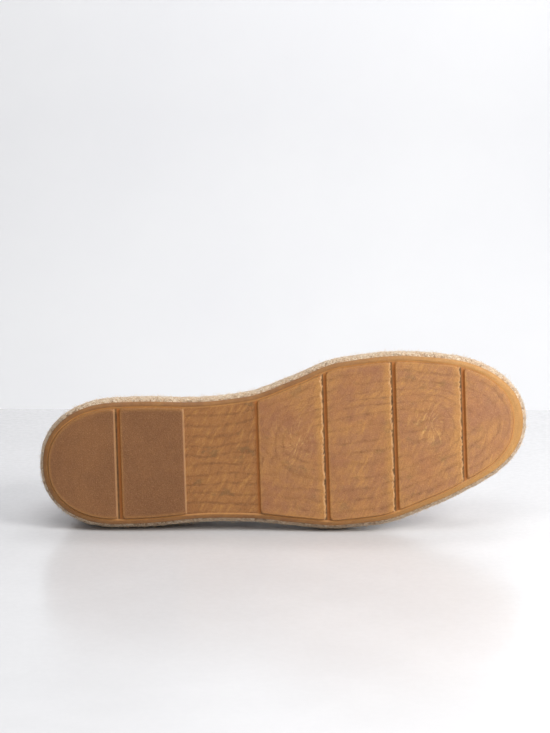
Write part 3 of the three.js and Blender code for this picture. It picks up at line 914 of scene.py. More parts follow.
    # Cream on the ragged slopes that face the toe: worn rubber and a painted highlight of the lit
    # wall.
    worn = shader.times(frayed_and_lit, shader.ramp(mottle[1], 0.2, 0.6, 0.4, 1.0), 0.6)
    base = shader.mix(worn, base, paint(222, 182, 134))
    rough = shader.ramp(patch[1], 0.0, 1.0, 0.44, 0.62)
    relief = shader.plus(shader.times(mottle[1], 0.4), patch[1])
    relief = shader.minus(relief, shader.times(seam, clear, 1.2))
    shader.put(surface.inputs, {
        "Base Color": base,
        "Roughness": rough,
        "Normal": shader.bump(relief, 0.1 * MM, 0.6),
        "Specular IOR Level": 0.4,
        "Subsurface Weight": 0.1,
        "Subsurface Radius": (3 * MM, 1.5 * MM, 0.6 * MM),
        "Subsurface Scale": 1.0,
    })
    return material


def travelled(angles, side):
    """The distance along one side of the outline from the heel to each of these angles."""
    fine = np.linspace(0, np.pi, 4001)
    steps = np.linalg.norm(np.diff(tread_point(side * fine), axis=0), axis=-1)
    return np.interp(angles, fine, np.concatenate([[0], np.cumsum(steps)]))


ROUND = travelled(np.pi, 1) + travelled(np.pi, -1)
PLAIT_PITCH = ROUND / np.round(ROUND / YARN_PITCH)


def plait_relief(around, share):
    """How far the plait's yarns stand out, from 0 between them to 1 on their crowns.

    The wall is the edge of a plaited band. Near the rubber the yarns slant one way and near
    the upper the other, and years of wear have half closed the gaps between them.
    """
    turned = smooth_step(0.42, 0.58, share)
    bend = np.where(share < 0.5, share, 1 - share) * 2
    phase = around / PLAIT_PITCH + YARN_SLANT * bend
    loose = 0.5 * wander(around, share * 18 * MM, 12, 14 * MM)
    crown = np.abs(np.sin(np.pi * (phase + loose))) ** 0.8
    return crown * (1 - 0.1 * bell((turned - 0.5) / 0.3))


def jute_point(angle, share, out):
    """A point of the jute's side at a share of its thickness, moved out by a distance."""
    level = outline_point(angle, jute_out_at(share) + out)
    z = jute_face_at(level[..., 0]) + share * jute_thickness_at(level[..., 0])
    return np.concatenate([level, z[..., None]], axis=-1)


def build_jute(steps, levels):
    """The jute as one closed grid: across its top, down one side, and up the other."""
    angles = even_angles(steps)
    share = (1 - np.cos(np.linspace(0, np.pi, levels))) / 2
    share = 0.4 * share + 0.6 * np.linspace(0, 1, levels)

    def side_wall(side):
        angle = np.broadcast_to(angles[:, None], (len(angles), levels))
        turned = side_station(side, angle)
        around = travelled(angle, side) * side
        high = np.broadcast_to(share, angle.shape)
        relief = plait_relief(around, high)
        rough = wander(around, high * 18 * MM, 11, 11 * MM)
        notch = smooth_step(0.5, 0.95, wander(around, high * 9 * MM, 13, 5 * MM))
        fade = smooth_step(0, 0.04, high) * smooth_step(1, 0.96, high)
        out = fade * (YARN_RELIEF * (relief - 0.6) + TUFT_RELIEF * (0.5 * rough - 0.7 * notch))
        points = jute_point(turned, high, out)
        # How much a point stands out on a yarn, less in the notches; the jute's material paints
        # shade where this is low.
        shown = np.clip(relief - 0.9 * notch, 0, 1)
        return points, np.stack([around / MM, high * 18, shown * fade], axis=-1)

    outer, outer_braid = side_wall(1)
    inner, inner_braid = side_wall(-1)
    # The sides' tufts differ where they meet at the toe, so both take the middle of the two.
    outer[-1] = inner[-1] = (outer[-1] + inner[-1]) / 2
    part = np.linspace(0, 1, 8)[1:-1][:, None]
    bottom = outer[:, :1] + (inner[:, :1] - outer[:, :1]) * part
    top = inner[:, -1:] + (outer[:, -1:] - inner[:, -1:]) * part
    bottom[..., 2] = jute_face_at(bottom[..., 0])
    top[..., 2] = footbed_at(top[..., 0]) - FIT_GAP
    points = np.concatenate([outer[:, ::-1], bottom, inner, top], axis=1)
    hidden = np.zeros_like(bottom)
    above = hidden + [0, 18, 0.5]
    braid = np.concatenate([outer_braid[:, ::-1], hidden, inner_braid, above], axis=1)
    rows, count = points.shape[:2]
    return make_piece(
        "jute_wall",
        points.reshape(-1, 3),
        grid_faces(rows, count, closed_columns=True),
        [jute_material()],
        plan=points.reshape(-1, 3) / MM,
        braid=braid.reshape(-1, 3),
    )


def build_jute_fuzz(count, longest):
    """Loose fibres that stand out of the jute: thin tapering tubes along bent paths.

    Fibres that would reach below the floor are left out.
    """
    rng = np.random.default_rng(21)
    angle = np.interp(rng.uniform(0, 1, count), np.linspace(0, 1, 2001), even_angles(2000))
    side = rng.choice([-1, 1], count)
    turned = np.where(side > 0, angle, 2 * np.pi - angle)
    is_low = rng.random(count) < 0.35
    share = np.where(is_low, rng.beta(1, 9, count), rng.uniform(0, 0.98, count))
    root = jute_point(turned, share, np.full(count, -0.5 * MM))
    outward = np.concatenate([outward_at(turned), np.zeros((count, 1))], axis=-1)
    along = np.stack([-outward[:, 1], outward[:, 0], 0 * share], axis=-1)
    lean = rng.normal(0, 1.0, (count, 1)) + 1.6 * np.sign(share[:, None] - 0.5)
    rise = rng.normal(0, 0.7, (count, 1)) + 1.2 * (share[:, None] - 0.5)
    ahead = outward + lean * along + rise * np.array([0, 0, 1])
    ahead /= np.linalg.norm(ahead, axis=-1, keepdims=True)
    droop = rng.normal(0, 1, (count, 3)) - 0.5 * outward
    length = longest * (0.3 + 0.7 * rng.beta(1.5, 4, count))
    t = np.linspace(0, 1, HAIR_POINTS)[None, :, None]
    reach = length[:, None, None]
    paths = root[:, None] + reach * (t * ahead[:, None] + 0.22 * t**2 * droop[:, None])
    radii = rng.uniform(0.05, 0.1, (count, 1)) * MM * np.sqrt(1 - t[..., 0])
    radii[:, 0] = 0.0
    clear = lay(paths)[..., 2].min(1) > HAIR_CLEARANCE
    points, faces = tubes(
        paths[clear], radii[clear], HAIR_SIDES, np.array([0.31, 0.57, 0.76])
    )
    shade = rng.uniform(0, 1, (count, 3))[clear]
    shade = np.repeat(shade, HAIR_POINTS * HAIR_SIDES, axis=0)
    return make_piece(
        "jute_fuzz", points, faces, [fibre_material()], tint=shade, plan=points / MM
    )


def jute_material():
    """Undyed jute: cream fibres that run along each yarn, and dirt at the toe.

    Painted shade browns the gaps and notches between the yarns, spots beside the rubber and
    patches towards the upper.
    """
    material, shader, surface = new_material("Jute")
    around, high, relief = shader.parts("braid")
    x, _, z = shader.parts("plan")
    upper_half = shader.math("GREATER_THAN", high, 9.0)
    turned = shader.minus(shader.times(upper_half, 2.0), 1.0)
    slanted = shader.plus(around, shader.times(turned, high))
    across = shader.minus(high, shader.times(turned, around))
    place = shader.add("ShaderNodeCombineXYZ", {0: across, 1: slanted, 2: z}).outputs[0]
    strands = shader.group(strand_group(), {"Place": place, "Fineness": 0.6})
    hairs = shader.group(strand_group(), {"Place": place, "Fineness": 1.8})
    grain = shader.grain(70.0, 1800.0)
    light = shader.mix(strands["Fibre"], paint(204, 162, 118), paint(255, 240, 214))
    light = shader.mix(shader.times(grain[0], 0.3), light, paint(220, 180, 136))
    # Painted shade: brown in the gaps and notches between the yarns, where the relief is low.
    base = shader.mix(shader.ramp(relief, 0.0, 0.5), paint(164, 120, 80), light)
    gap = shader.ramp(hairs["Fibre"], 0.1, 0.55, 0.4, 0.0)
    base = shader.mix(gap, base, paint(150, 110, 74))
    # Painted shadow: dark spots between the tufts beside the rubber.
    shadow_spots = shader.ramp(shader.plan_noise(0.45, detail=2.0), 0.52, 0.62)
    shadow_spots = shader.times(shader.ramp(high, 3.6, 0.8), shadow_spots, 0.6)
    base = shader.mix(shadow_spots, base, paint(128, 88, 50))
    # Painted shade: darker in patches towards the upper's side of the wall.
    patches = shader.ramp(grain[0], 0.2, 0.9, 0.3, 0.9)
    shade_toward_upper = shader.times(shader.ramp(high, 6.0, 15.0), patches, 0.3)
    base = shader.mix(shade_toward_upper, base, paint(122, 100, 80))
    toe_dirt = shader.times(shader.ramp(x, 262.0, 298.0), shader.ramp(grain[0], 0.3, 0.9), 0.35)
    base = shader.mix(toe_dirt, base, paint(122, 108, 94))
    height = shader.plus(strands["Fibre"], shader.times(hairs["Fibre"], 0.6))
    shader.put(surface.inputs, {
        "Base Color": base,
        "Roughness": 0.92,
        "Sheen Weight": 0.3,
        "Sheen Roughness": 0.5,
        "Normal": shader.bump(height, 0.3 * MM, 0.9),
    })
    return material


def fibre_material():
    material, shader, surface = new_material("Loose jute fibre")
    tint = shader.parts("tint")
    patch = shader.plan_noise(0.3)
    base = shader.mix(tint[0], paint(226, 192, 150), paint(255, 242, 218))
    base = shader.mix(shader.times(patch, 0.3), base, paint(150, 118, 84))
    rough = shader.ramp(tint[1], 0.0, 1.0, 0.7, 0.9)
    shader.put(surface.inputs, {
        "Base Color": base,
        "Roughness": rough,
    })
    return material


def vamp_dent(x, y, z):
    """How far the suede has given way: flex creases over the ball, and soft hollows.

    Three creases cross the vamp where the toes bend. Each is a narrow valley with a roll on
    both sides, bowed back at its ends, and fades out down the sides. The quarters sag in a
    little below the collar, and the whole skin wanders by a few tenths of a millimetre.
    """
    middle = y + 9 * MM
    fold = np.zeros_like(x)
    for at, bow, depth, shift in VAMP_CREASES:
        line = at - bow * ((middle - shift) / (30 * MM)) ** 2
        off = (x - line + 1.2 * MM * wander(x, y, 31, 26 * MM)) / (3.4 * MM)
        fold += depth * (1.3 * bell(off) - 0.75 * bell(np.abs(off) - 1.9))
    fold *= smooth_step(34 * MM, 48 * MM, z)
    quarter = 1.6 * MM * bell((x - 104 * MM) / (34 * MM)) * smooth_step(40 * MM, 66 * MM, z)
    toe = 0.9 * MM * bell((x - 252 * MM) / (14 * MM), (middle - 14 * MM) / (12 * MM))
    soft = 0.5 * MM * (0.5 + 0.5 * wander(x + z, y, 32, 60 * MM))
    soft += 0.16 * MM * (0.5 + 0.5 * wander(x - z, y + z, 33, 17 * MM))
    return fold + quarter + toe + soft * smooth_step(30 * MM, 44 * MM, z)


def skin(station, across, out):
    """A point of the worn upper, moved out of its face by a distance."""
    point = form_point(station, across)
    dent = vamp_dent(point[..., 0], point[..., 1], point[..., 2])
    return point + form_normal(station, across) * (out - dent)[..., None]


def build_upper(steps, levels):
    """The suede upper with its lining, as one wall with a rolled collar.

    A row is one station's rib, from the outer lower edge over the last to the inner one. It
    is open at the collar as far as the throat, and in front of it both sides meet on the
    ridge. The lining is the same grid one wall thickness further in.
    """
    even = even_angles(steps)
    near = THROAT - even[np.searchsorted(even, THROAT - 0.16)]
    close = THROAT - near * np.linspace(1, 0, 17) ** 2
    behind = even[even < close[0] - 1e-6]
    ahead = even[even > THROAT + (even[1] - even[0]) / 2]
    stations = np.concatenate([behind, close, ahead])
    throat = len(behind) + len(close) - 1
    t = np.linspace(0, 1, levels)

    def face(side, out):
        end = collar_share(stations, side)
        end[throat:] = 0
        across = side * (1 + (end[:, None] - 1) * t)
        if side < 0:
            across = np.where(across == 0, -1e-9, across)
        station = np.broadcast_to(stations[:, None], across.shape)
        points = skin(station, across, np.full(across.shape, out))
        points[:, 0, 2] = footbed_at(points[:, 0, 0])
        return points

    grids = {(side, out): face(side, out) for side in (1, -1) for out in (0.0, -WALL)}
    for out in (0.0, -WALL):
        grids[(-1, out)][throat:, -1] = grids[(1, out)][throat:, -1]
        for row in (0, -1):
            grids[(-1, out)][row] = grids[(1, out)][row]
    pieces, faces, kinds, start = [], [], [], 0

    def take(points, kind):
        nonlocal start
        rows, count = points.shape[:2]
        pieces.append(points.reshape(-1, 3))
        made = grid_faces(rows, count) + start
        faces.append(made)
        kinds.append(np.full(len(made), kind))
        start += rows * count

    for side in (1, -1):
        outer, inner = grids[(side, 0.0)], grids[(side, -WALL)]
        take(outer, 0)
        take(inner, 1)
        take(np.stack([outer[:, 0], inner[:, 0]], axis=1), 1)

    def round_collar(out, column):
        """One column of both sides as a line, out to the throat and back to the heel."""
        there, back = grids[(1, out)][: throat + 1, column], grids[(-1, out)][:throat, column]
        return np.concatenate([there, back[::-1]])

    outer_edge, inner_edge = round_collar(0.0, -1), round_collar(-WALL, -1)
    up = outer_edge - round_collar(0.0, -3)
    along = np.gradient(outer_edge, axis=0)
    along[[0, -1]] = outer_edge[1] - outer_edge[-2]
    through = outer_edge - inner_edge
    over = np.cross(through, along)
    over *= np.sign((over * up).sum(-1, keepdims=True))
    over /= np.linalg.norm(over, axis=-1, keepdims=True)
    turn = np.linspace(0, np.pi, COLLAR_LIP)[:, None, None]
    middle = (outer_edge + inner_edge) / 2
    lip = middle + np.cos(turn) * through / 2 + np.sin(turn) * over * WALL * 0.6
    take(np.swapaxes(lip, 0, 1), 0)
    points = np.concatenate(pieces)
    return make_piece(
        "suede_upper",
        points,
        np.concatenate(faces),
        [suede_material("Suede", (187, 146, 122)), lining_material()],
        np.concatenate(kinds),
        plan=points / MM,
    )


def counter_place(turn, share):
    """The station and across value of a place on the heel counter.

    turn runs from -1 at the inner front edge, round the heel, to 1 at the outer one, and
    share from the lower edge to the collar.
    """
    at = COUNTER_FRONT["low"] + (COUNTER_FRONT["high"] - COUNTER_FRONT["low"]) * share
    station = np.abs(turn) * angle_at(at)
    side = np.where(turn < 0, -1, 1)
    end = np.where(turn < 0, collar_share(station, -1), collar_share(station, 1))
    return station, side * (1 + (end - 1) * share)


def build_counter(steps, levels):
    """The heel counter: a sheet over the upper whose four edges are rounded off."""
    edge = np.array([0, 0.3, 0.7, 1.3]) * MM
    turn = np.linspace(-1, 1, steps)
    share = np.linspace(COUNTER_LOWEST, 1, levels)
    long, high = COUNTER_LENGTH, COUNTER_HEIGHT
    turn = np.concatenate([-1 + edge / long, turn[1:-1], 1 - edge[::-1] / long])
    share = np.concatenate([share[0] + edge / high, share[1:-1], share[-1] - edge[::-1] / high])
    turns, shares = np.meshgrid(turn, share, indexing="ij")
    station, across = counter_place(turns, shares)
    to_edge = np.minimum(1 - np.abs(turns), 1) * long
    to_edge = np.minimum(to_edge, (shares - share[0]) * high)
    to_edge = np.minimum(to_edge, (share[-1] - shares) * high)
    round_off = 0.5 * MM * (1 - np.sqrt(1 - np.clip(1 - to_edge / (1.3 * MM), 0, 1) ** 2))
    outer = skin(station, across, FIT_GAP + COUNTER_THICKNESS - round_off)
    inner = skin(station, across, np.full(across.shape, FIT_GAP))
    rows, count = turns.shape
    faces = [grid_faces(rows, count), grid_faces(rows, count) + rows * count]
    ring = np.concatenate([
        np.arange(count),
        np.arange(1, rows) * count + count - 1,
        (rows - 1) * count + np.arange(count - 2, -1, -1),
        np.arange(rows - 2, 0, -1) * count,
    ])
    after = np.roll(ring, -1)
    faces.append(np.stack([ring, after, after + rows * count, ring + rows * count], axis=-1))
    points = np.concatenate([outer.reshape(-1, 3), inner.reshape(-1, 3)])
    # The counter's suede is a darker copy of the upper's: painted shade.
    return make_piece(
        "heel_counter_suede",
        points,
        np.concatenate(faces),
        [suede_material("Counter suede", (168, 126, 104))],
        plan=points / MM,
    )


def build_insole(steps, columns):
    """The footbed: a thin pad with the foot's print, closed below and round its rim."""
    angles = even_angles(steps)
    outs = np.array([-6.2, -6.0, -6.0, -6.3, -6.8, -7.6]) * MM
    heights = np.array([0, 0.4, 2.2, 2.8, 3.0, 3.05]) * MM

    def wall(side):
        angle = side_station(side, angles[:, None] + 0 * outs)
        level = outline_point(angle, np.broadcast_to(outs, angle.shape))
        return level, footbed_at(level[..., 0]) + heights

    (outer, outer_z), (inner, inner_z) = wall(1), wall(-1)
    part = np.linspace(0, 1, columns)[1:-1][:, None]
    top = outer[:, -1:] + (inner[:, -1:] - outer[:, -1:]) * part
    bottom = inner[:, :1] + (outer[:, :1] - inner[:, :1]) * part
    x, y = top[..., 0], top[..., 1] + inward_at(top[..., 0])
    heel = bell((x - 42 * MM) / (30 * MM), y / (24 * MM))
    ball = bell((x - 205 * MM) / (28 * MM), y / (34 * MM))
    top_z = footbed_at(x) + heights[-1] - 0.9 * MM * heel - 0.7 * MM * ball
    top_z += 0.12 * MM * wander(x, y, 41, 12 * MM)
    level = np.concatenate([outer, top, inner[:, ::-1], bottom], axis=1)
    z = np.concatenate([outer_z, top_z, inner_z[:, ::-1], footbed_at(bottom[..., 0])], axis=1)
    points = np.concatenate([level, z[..., None]], axis=-1)
    pressed = np.zeros(z.shape)
    pressed[:, outer.shape[1] : outer.shape[1] + x.shape[1]] = np.maximum(heel, ball)
    rows, count = z.shape
    fields = np.stack([pressed, 0 * z, 0 * z], axis=-1)
    return make_piece(
        "insole_pad",
        points.reshape(-1, 3),
        grid_faces(rows, count, closed_columns=True),
        [insole_material()],
        plan=points.reshape(-1, 3) / MM,
        pressed=fields.reshape(-1, 3),
    )


def build_blanket_stitch(pitch, thickness):
    """The bars of cream cord that sew the upper to the jute.

    Each leaves the jute's top edge, passes over the dark gap inside it and goes into the
    upper a little further towards the heel, so that the bars lean.
    """
    start = travelled(angle_at(STITCH_START), 1)
    bars = []
    for side in (1, -1):
        end = travelled(np.pi, side)
        count = int((end - start) / pitch)
        fine = np.linspace(0, np.pi, 2001)
        reach = travelled(fine, side)
        goal = start + pitch * (np.arange(count) + 0.5)
        rng = np.random.default_rng(50 + side)
        goal += rng.normal(0, 0.25 * MM, count)
        angle = side_station(side, np.interp(goal, reach, fine))
        lean = side * np.gradient(angle) * STITCH_LEAN / pitch
        station = np.where(angle > np.pi, 2 * np.pi - angle, angle)
        further = station - np.abs(lean)

        def on_jute(share, out):
            return jute_point(angle, np.full(count, share), np.full(count, out))

        def on_upper(across, out):
            across = np.full(count, side * across)
            return form_point(further, across) + form_normal(further, across) * out

        corners = (
            on_jute(0.88, -0.9 * MM),
            on_jute(0.93, 0.45 * MM),
            on_jute(1.0, 0.7 * MM),
            on_upper(0.985, 1.6 * MM),
            on_upper(0.962, 0.5 * MM),
            on_upper(0.95, -0.9 * MM),
        )
        bars.append(resample(np.stack(corners, axis=1), 14))
    paths = np.concatenate(bars)
    radii = np.full(paths.shape[:2], thickness / 2)
    radii[:, [0, -1]] = 0
    points, faces = tubes(paths, radii, CORD_SIDES, np.array([1.0, 0, 0]))
    twist = tube_twist(paths, CORD_SIDES)
    return make_piece("blanket_stitch", points, faces, [cord_material()], twist=twist)


def resample(paths, count):
    """Smooth each path through its corners and divide it into even steps of its own."""
    corners = paths.shape[1]
    fine = np.linspace(0, corners - 1, count)
    weight = bell((fine[:, None] - np.arange(corners)) / 0.55)
    weight /= weight.sum(1, keepdims=True)
    return np.einsum("fc,pcd->pfd", weight, paths)


def tube_twist(paths, sides):
    """For each point of a tube: the distance along it in mm, and the share of its turn."""
    step = np.linalg.norm(np.diff(paths, axis=1), axis=-1)
    along = np.concatenate([np.zeros((len(paths), 1)), np.cumsum(step, axis=1)], axis=1) / MM
    turn = np.broadcast_to(np.arange(sides) / sides, (*along.shape, sides))
    far = np.broadcast_to(along[..., None], turn.shape)
    own = np.broadcast_to(np.arange(len(paths))[:, None, None] * 0.37 % 1, turn.shape)
    return np.stack([far, turn, own], axis=-1).reshape(-1, 3)


def stitch_row(place, length, step, lift, thickness):
    """Thread stitches along a line on the upper, each dipping into the suede at its ends.

    place takes a share of the line and a height and gives points. length is the line's
    length and step the distance from one stitch to the next.
    """
    count = int(length / step)
    stitch = step * THREAD_SHOWN
    start = (np.arange(count) + 0.2) / count
    t = np.linspace(0, 1, 7)
    share = start[:, None] + t * stitch / length
    height = lift * np.sin(np.pi * t) ** 0.6 - 0.35 * MM * (np.abs(t - 0.5) > 0.45)
    paths = place(share, np.broadcast_to(height, share.shape))
    radii = np.full(share.shape, thickness / 2)
    radii[:, [0, -1]] = 0
    points, faces = tubes(paths, radii, THREAD_SIDES, np.array([0.2, 0.3, 0.93]))
    return points, faces, tube_twist(paths, THREAD_SIDES)


def build_topstitch(step, thickness):
    """The thread rows: two beside the counter's front edges and one under the collar."""
    counter_face = FIT_GAP + COUNTER_THICKNESS

    def beside_counter(side, gap):
        def place(share, height):
            high = COUNTER_LOWEST + 0.02 + (0.97 - COUNTER_LOWEST - 0.02) * share
            turn = side * np.full(share.shape, 1 - gap / COUNTER_LENGTH)
            station, across = counter_place(turn, high)
            return skin(station, across, counter_face + height)

        return place

    def under_collar(side):
        first = angle_at(COUNTER_FRONT["high"]) + 0.04

        def place(share, height):
            station = first + (THROAT - 0.03 - first) * share
            end = collar_share(station, side)
            across = end + 0.07 * (1 - end)
            return skin(station, side * across, height)

        return place

    def round_heel(share, height):
        turn = -0.97 + 1.94 * share
        station, across = counter_place(turn, np.full(share.shape, 0.93))
        return skin(station, across, counter_face + height)

    rows = [("counter", beside_counter(side, gap)) for side in (1, -1) for gap in COUNTER_ROW_GAPS]
    rows += [("collar", under_collar(side)) for side in (1, -1)]
    rows.append(("heel", round_heel))
    points, faces, twist, total = [], [], [], 0
    for kind, place in rows:
        length, lift = THREAD_ROW[kind], THREAD_LIFT[kind]
        row_points, row_faces, row_twist = stitch_row(place, length, step, lift, thickness)
        points.append(row_points)
        faces.append(row_faces + total)
        twist.append(row_twist)
        total += len(row_points)
    return make_piece(
        "topstitch_thread",
        np.concatenate(points),
        np.concatenate(faces),
        [thread_material()],
        twist=np.concatenate(twist),
    )


def suede_material(name, tone):
    """Suede: a short nap whose patches lie one way or the other, and a greyer tone in patches
    towards its lower edge.
    """
    material, shader, surface = new_material(name)
    z = shader.parts("plan")[2]
    grain = shader.grain(70.0, 2600.0)
    nap = shader.grain(320.0, 5200.0)
    shade = tuple(value * 0.86 for value in tone)
    light = tuple(min(255, value * 1.1) for value in tone)
    base = shader.mix(grain[0], paint(*shade), paint(*tone))
    base = shader.mix(shader.times(nap[0], 0.35), base, paint(*light))
    pits = tuple(value * 0.62 for value in tone)
    base = shader.mix(shader.ramp(nap[1], 0.3, 0.8, 0.0, 0.2), base, paint(*pits))
    low = shader.ramp(z, 40.0, 25.0, 0.0, 0.45)
    base = shader.mix(shader.times(low, grain[0]), base, paint(124, 100, 84))
    rough = shader.ramp(grain[1], 0.0, 1.0, 0.82, 0.96)
    relief = shader.plus(nap[1], shader.times(nap[0], 0.8))
    shader.put(surface.inputs, {
        "Base Color": base,
        "Roughness": rough,
        "Normal": shader.bump(relief, 0.12 * MM, 0.6),
        "Specular IOR Level": 0.2,
        "Sheen Weight": 0.35,
        "Sheen Roughness": 0.45,
    })
    return material


def lining_material():
    """A pale leather lining with a fine grain, darker where the foot rubs it."""
    material, shader, surface = new_material("Lining")
    grain = shader.grain(45.0, 1700.0)
    base = shader.mix(grain[0], paint(206, 176, 142), paint(222, 196, 164))
    base = shader.mix(shader.ramp(grain[1], 0.4, 0.8, 0.0, 0.18), base, paint(164, 130, 98))
    shader.put(surface.inputs, {
        "Base Color": base,
        "Roughness": shader.ramp(grain[0], 0.0, 1.0, 0.5, 0.7),
        "Normal": shader.bump(grain[1], 0.08 * MM, 0.5),
    })
    return material


def insole_material():
    """The footbed's leather, polished and darkened where heel and ball press it."""
    material, shader, surface = new_material("Insole leather")
    pressed = shader.parts("pressed")[0]
    grain = shader.grain(50.0, 1500.0)
    base = shader.mix(grain[0], paint(196, 160, 122), paint(214, 182, 146))
    base = shader.mix(shader.times(pressed, 0.7), base, paint(138, 98, 66))
    base = shader.mix(shader.ramp(grain[1], 0.4, 0.8, 0.0, 0.2), base, paint(150, 112, 80))
    shader.put(surface.inputs, {
        "Base Color": base,
        "Roughness": shader.ramp(pressed, 0.0, 1.0, 0.68, 0.42),
        "Normal": shader.bump(grain[1], 0.08 * MM, 0.5),
    })
    return material


def twisted(shader, turns, plies):
    """The plies of a twisted cord: a wave over the distance along it and its turn."""
    parts = shader.parts("twist")
    angle = shader.plus(shader.times(parts[0], turns), parts[1])
    wave = shader.math("SINE", shader.times(angle, 2 * np.pi * plies))
    return shader.ramp(wave, -1.0, 0.4), parts


def cord_material():
    """Thick cream cotton cord of three plies, a little soiled."""
    material, shader, surface = new_material("Cream cord")
    ply, parts = twisted(shader, 0.16, 3)
    grain = shader.grain(90.0, 3000.0)
    # Painted shade: darker in the valleys between the plies.
    base = shader.mix(ply, paint(188, 160, 124), paint(240, 226, 200))
    base = shader.mix(shader.times(parts[2], 0.3), base, paint(214, 190, 156))
    base = shader.mix(shader.times(grain[0], 0.3), base, paint(172, 142, 108))
    relief = shader.plus(ply, shader.times(grain[1], 0.4))
    shader.put(surface.inputs, {
        "Base Color": base,
        "Roughness": shader.ramp(grain[1], 0.0, 1.0, 0.8, 0.95),
        "Normal": shader.bump(relief, 0.2 * MM, 0.8),
    })
    return material


def thread_material():
    material, shader, surface = new_material("Sewing thread")
    ply, parts = twisted(shader, 0.8, 2)
    # Painted shade: darker in the valleys between the plies.
    base = shader.mix(ply, paint(150, 112, 84), paint(204, 170, 138))
    base = shader.mix(shader.times(parts[2], 0.25), base, paint(176, 140, 108))
    shader.put(surface.inputs, {
        "Base Color": base,
        "Roughness": shader.ramp(ply, 0.0, 1.0, 0.7, 0.55),
    })
    return material


def wall_material():
    """White paper, almost even, for the wall behind the table."""
    material, shader, surface = new_material("Backdrop paper")
    cloud = shader.grain(1.5, 300.0)
    base = shader.mix(cloud[0], paint(240, 240, 242), paint(244, 244, 245))
    shader.put(surface.inputs, {
        "Base Color": base,
        "Roughness": 0.9,
    })
    return material


def table_material():
    """White acrylic with a soft shine that mirrors the shoe faintly, and a little dust."""
    material, shader, surface = new_material("White table")
    dust = shader.grain(9.0, 240.0)
    base = shader.mix(dust[0], paint(213, 213, 215), paint(218, 218, 220))
    shader.put(surface.inputs, {
        "Base Color": base,
        "Roughness": shader.ramp(dust[1], 0.0, 1.0, 0.2, 0.27),
        "Specular IOR Level": 0.4,
    })
    return material


def build_sheet(name, y, z, material):
    """A white sheet that is as wide as the studio and follows a line from front to back."""
    x = np.linspace(-SHEET_HALF_WIDTH, SHEET_HALF_WIDTH, 17)
    points = np.stack(np.broadcast_arrays(x[:, None], y, z), axis=-1)
    mesh = bpy.data.meshes.new(name)
    faces = grid_faces(len(x), len(y))
    mesh.from_pydata(points.reshape(-1, 3).tolist(), [], faces.tolist())
    mesh.polygons.foreach_set("use_smooth", np.ones(len(faces), dtype=bool))
    mesh.materials.append(material)
    sheet = bpy.data.objects.new(name, mesh)
    bpy.context.scene.collection.objects.link(sheet)
    return sheet


def build_stage():
    """A glossy white table top that ends behind the shoe, and a wall well beyond it.

    The table's rear edge rolls down. The wall bends up from below the table, further away
    than any view of the shoe is taken from.
    """
    turn = np.linspace(0, np.pi / 2, 9)
    rolled = TABLE_END + TABLE_EDGE * np.sin(turn)
    table_y = np.concatenate([[-2.4, -0.8, 0.0], rolled, [TABLE_END + TABLE_EDGE]])
    table_z = np.concatenate([[0.0, 0.0, 0.0], -TABLE_EDGE * (1 - np.cos(turn)), [-SHEET_DROP]])
    turn = np.linspace(0, np.pi / 2, 25)
    bent = WALL_START + WALL_BEND * np.sin(turn)
    wall_y = np.concatenate([[TABLE_END - 0.1], bent, [WALL_START + WALL_BEND]])
    risen = -SHEET_DROP + WALL_BEND * (1 - np.cos(turn))
    wall_z = np.concatenate([[-SHEET_DROP], risen, [WALL_TOP]])
    table = build_sheet("table_top", table_y, table_z, table_material())
    wall = build_sheet("backdrop", wall_y, wall_z, wall_material())
    return table, wall


def add_light(name, place, aim, size, power, tint):
    """A rectangular lamp that faces a point."""
    lamp = bpy.data.lights.new(name, "AREA")
    lamp.shape = "RECTANGLE"
    lamp.size, lamp.size_y = size
    lamp.energy = power
    lamp.color = tint
    holder = bpy.data.objects.new(name, lamp)
    holder.location = place
    holder.rotation_euler = (Vector(aim) - Vector(place)).to_track_quat("-Z", "Y").to_euler()
    bpy.context.scene.collection.objects.link(holder)


def count_property(name, description, default, least):
    return IntProperty(name=name, description=description, default=default, min=least)


def length_property(name, description, default):
    return FloatProperty(name=name, description=description, default=default, unit="LENGTH")


class SoleSettings(bpy.types.PropertyGroup):
    steps: count_property("Cross rows", "Rows across the sole", 300, 40)
    columns: count_property("Columns", "Columns across the pads", 84, 20)


class JuteSettings(bpy.types.PropertyGroup):
    steps: count_property("Cross rows", "Rows along the jute", 640, 40)
    levels: count_property("Levels", "Levels of the wall", 32, 8)
    hairs: count_property("Loose fibres", "How many fibres stand out", 7800, 0)
    hair_length: length_property("Fibre length", "Length of the longest loose fibre", 5.0 * MM)


class UpperSettings(bpy.types.PropertyGroup):
    steps: count_property("Ribs", "Ribs from heel to toe", 150, 30)
    levels: count_property("Levels", "Points up each rib", 60, 10)
    counter_steps: count_property("Counter steps", "Steps round the heel", 110, 20)
    counter_levels: count_property("Counter levels", "Levels of the counter", 44, 8)
    insole_columns: count_property("Insole columns", "Columns across it", 40, 8)


class StitchSettings(bpy.types.PropertyGroup):
    pitch: length_property(
        "Bar spacing", "Distance from one bar of the blanket stitch to the next", 5.8 * MM
    )
    cord: length_property("Cord thickness", "Diameter of the cream cord", 1.1 * MM)
    step: length_property("Thread spacing", "Distance from one thread stitch to the next", 3.2 * MM)
    thread: length_property("Thread thickness", "Diameter of the sewing thread", 0.6 * MM)


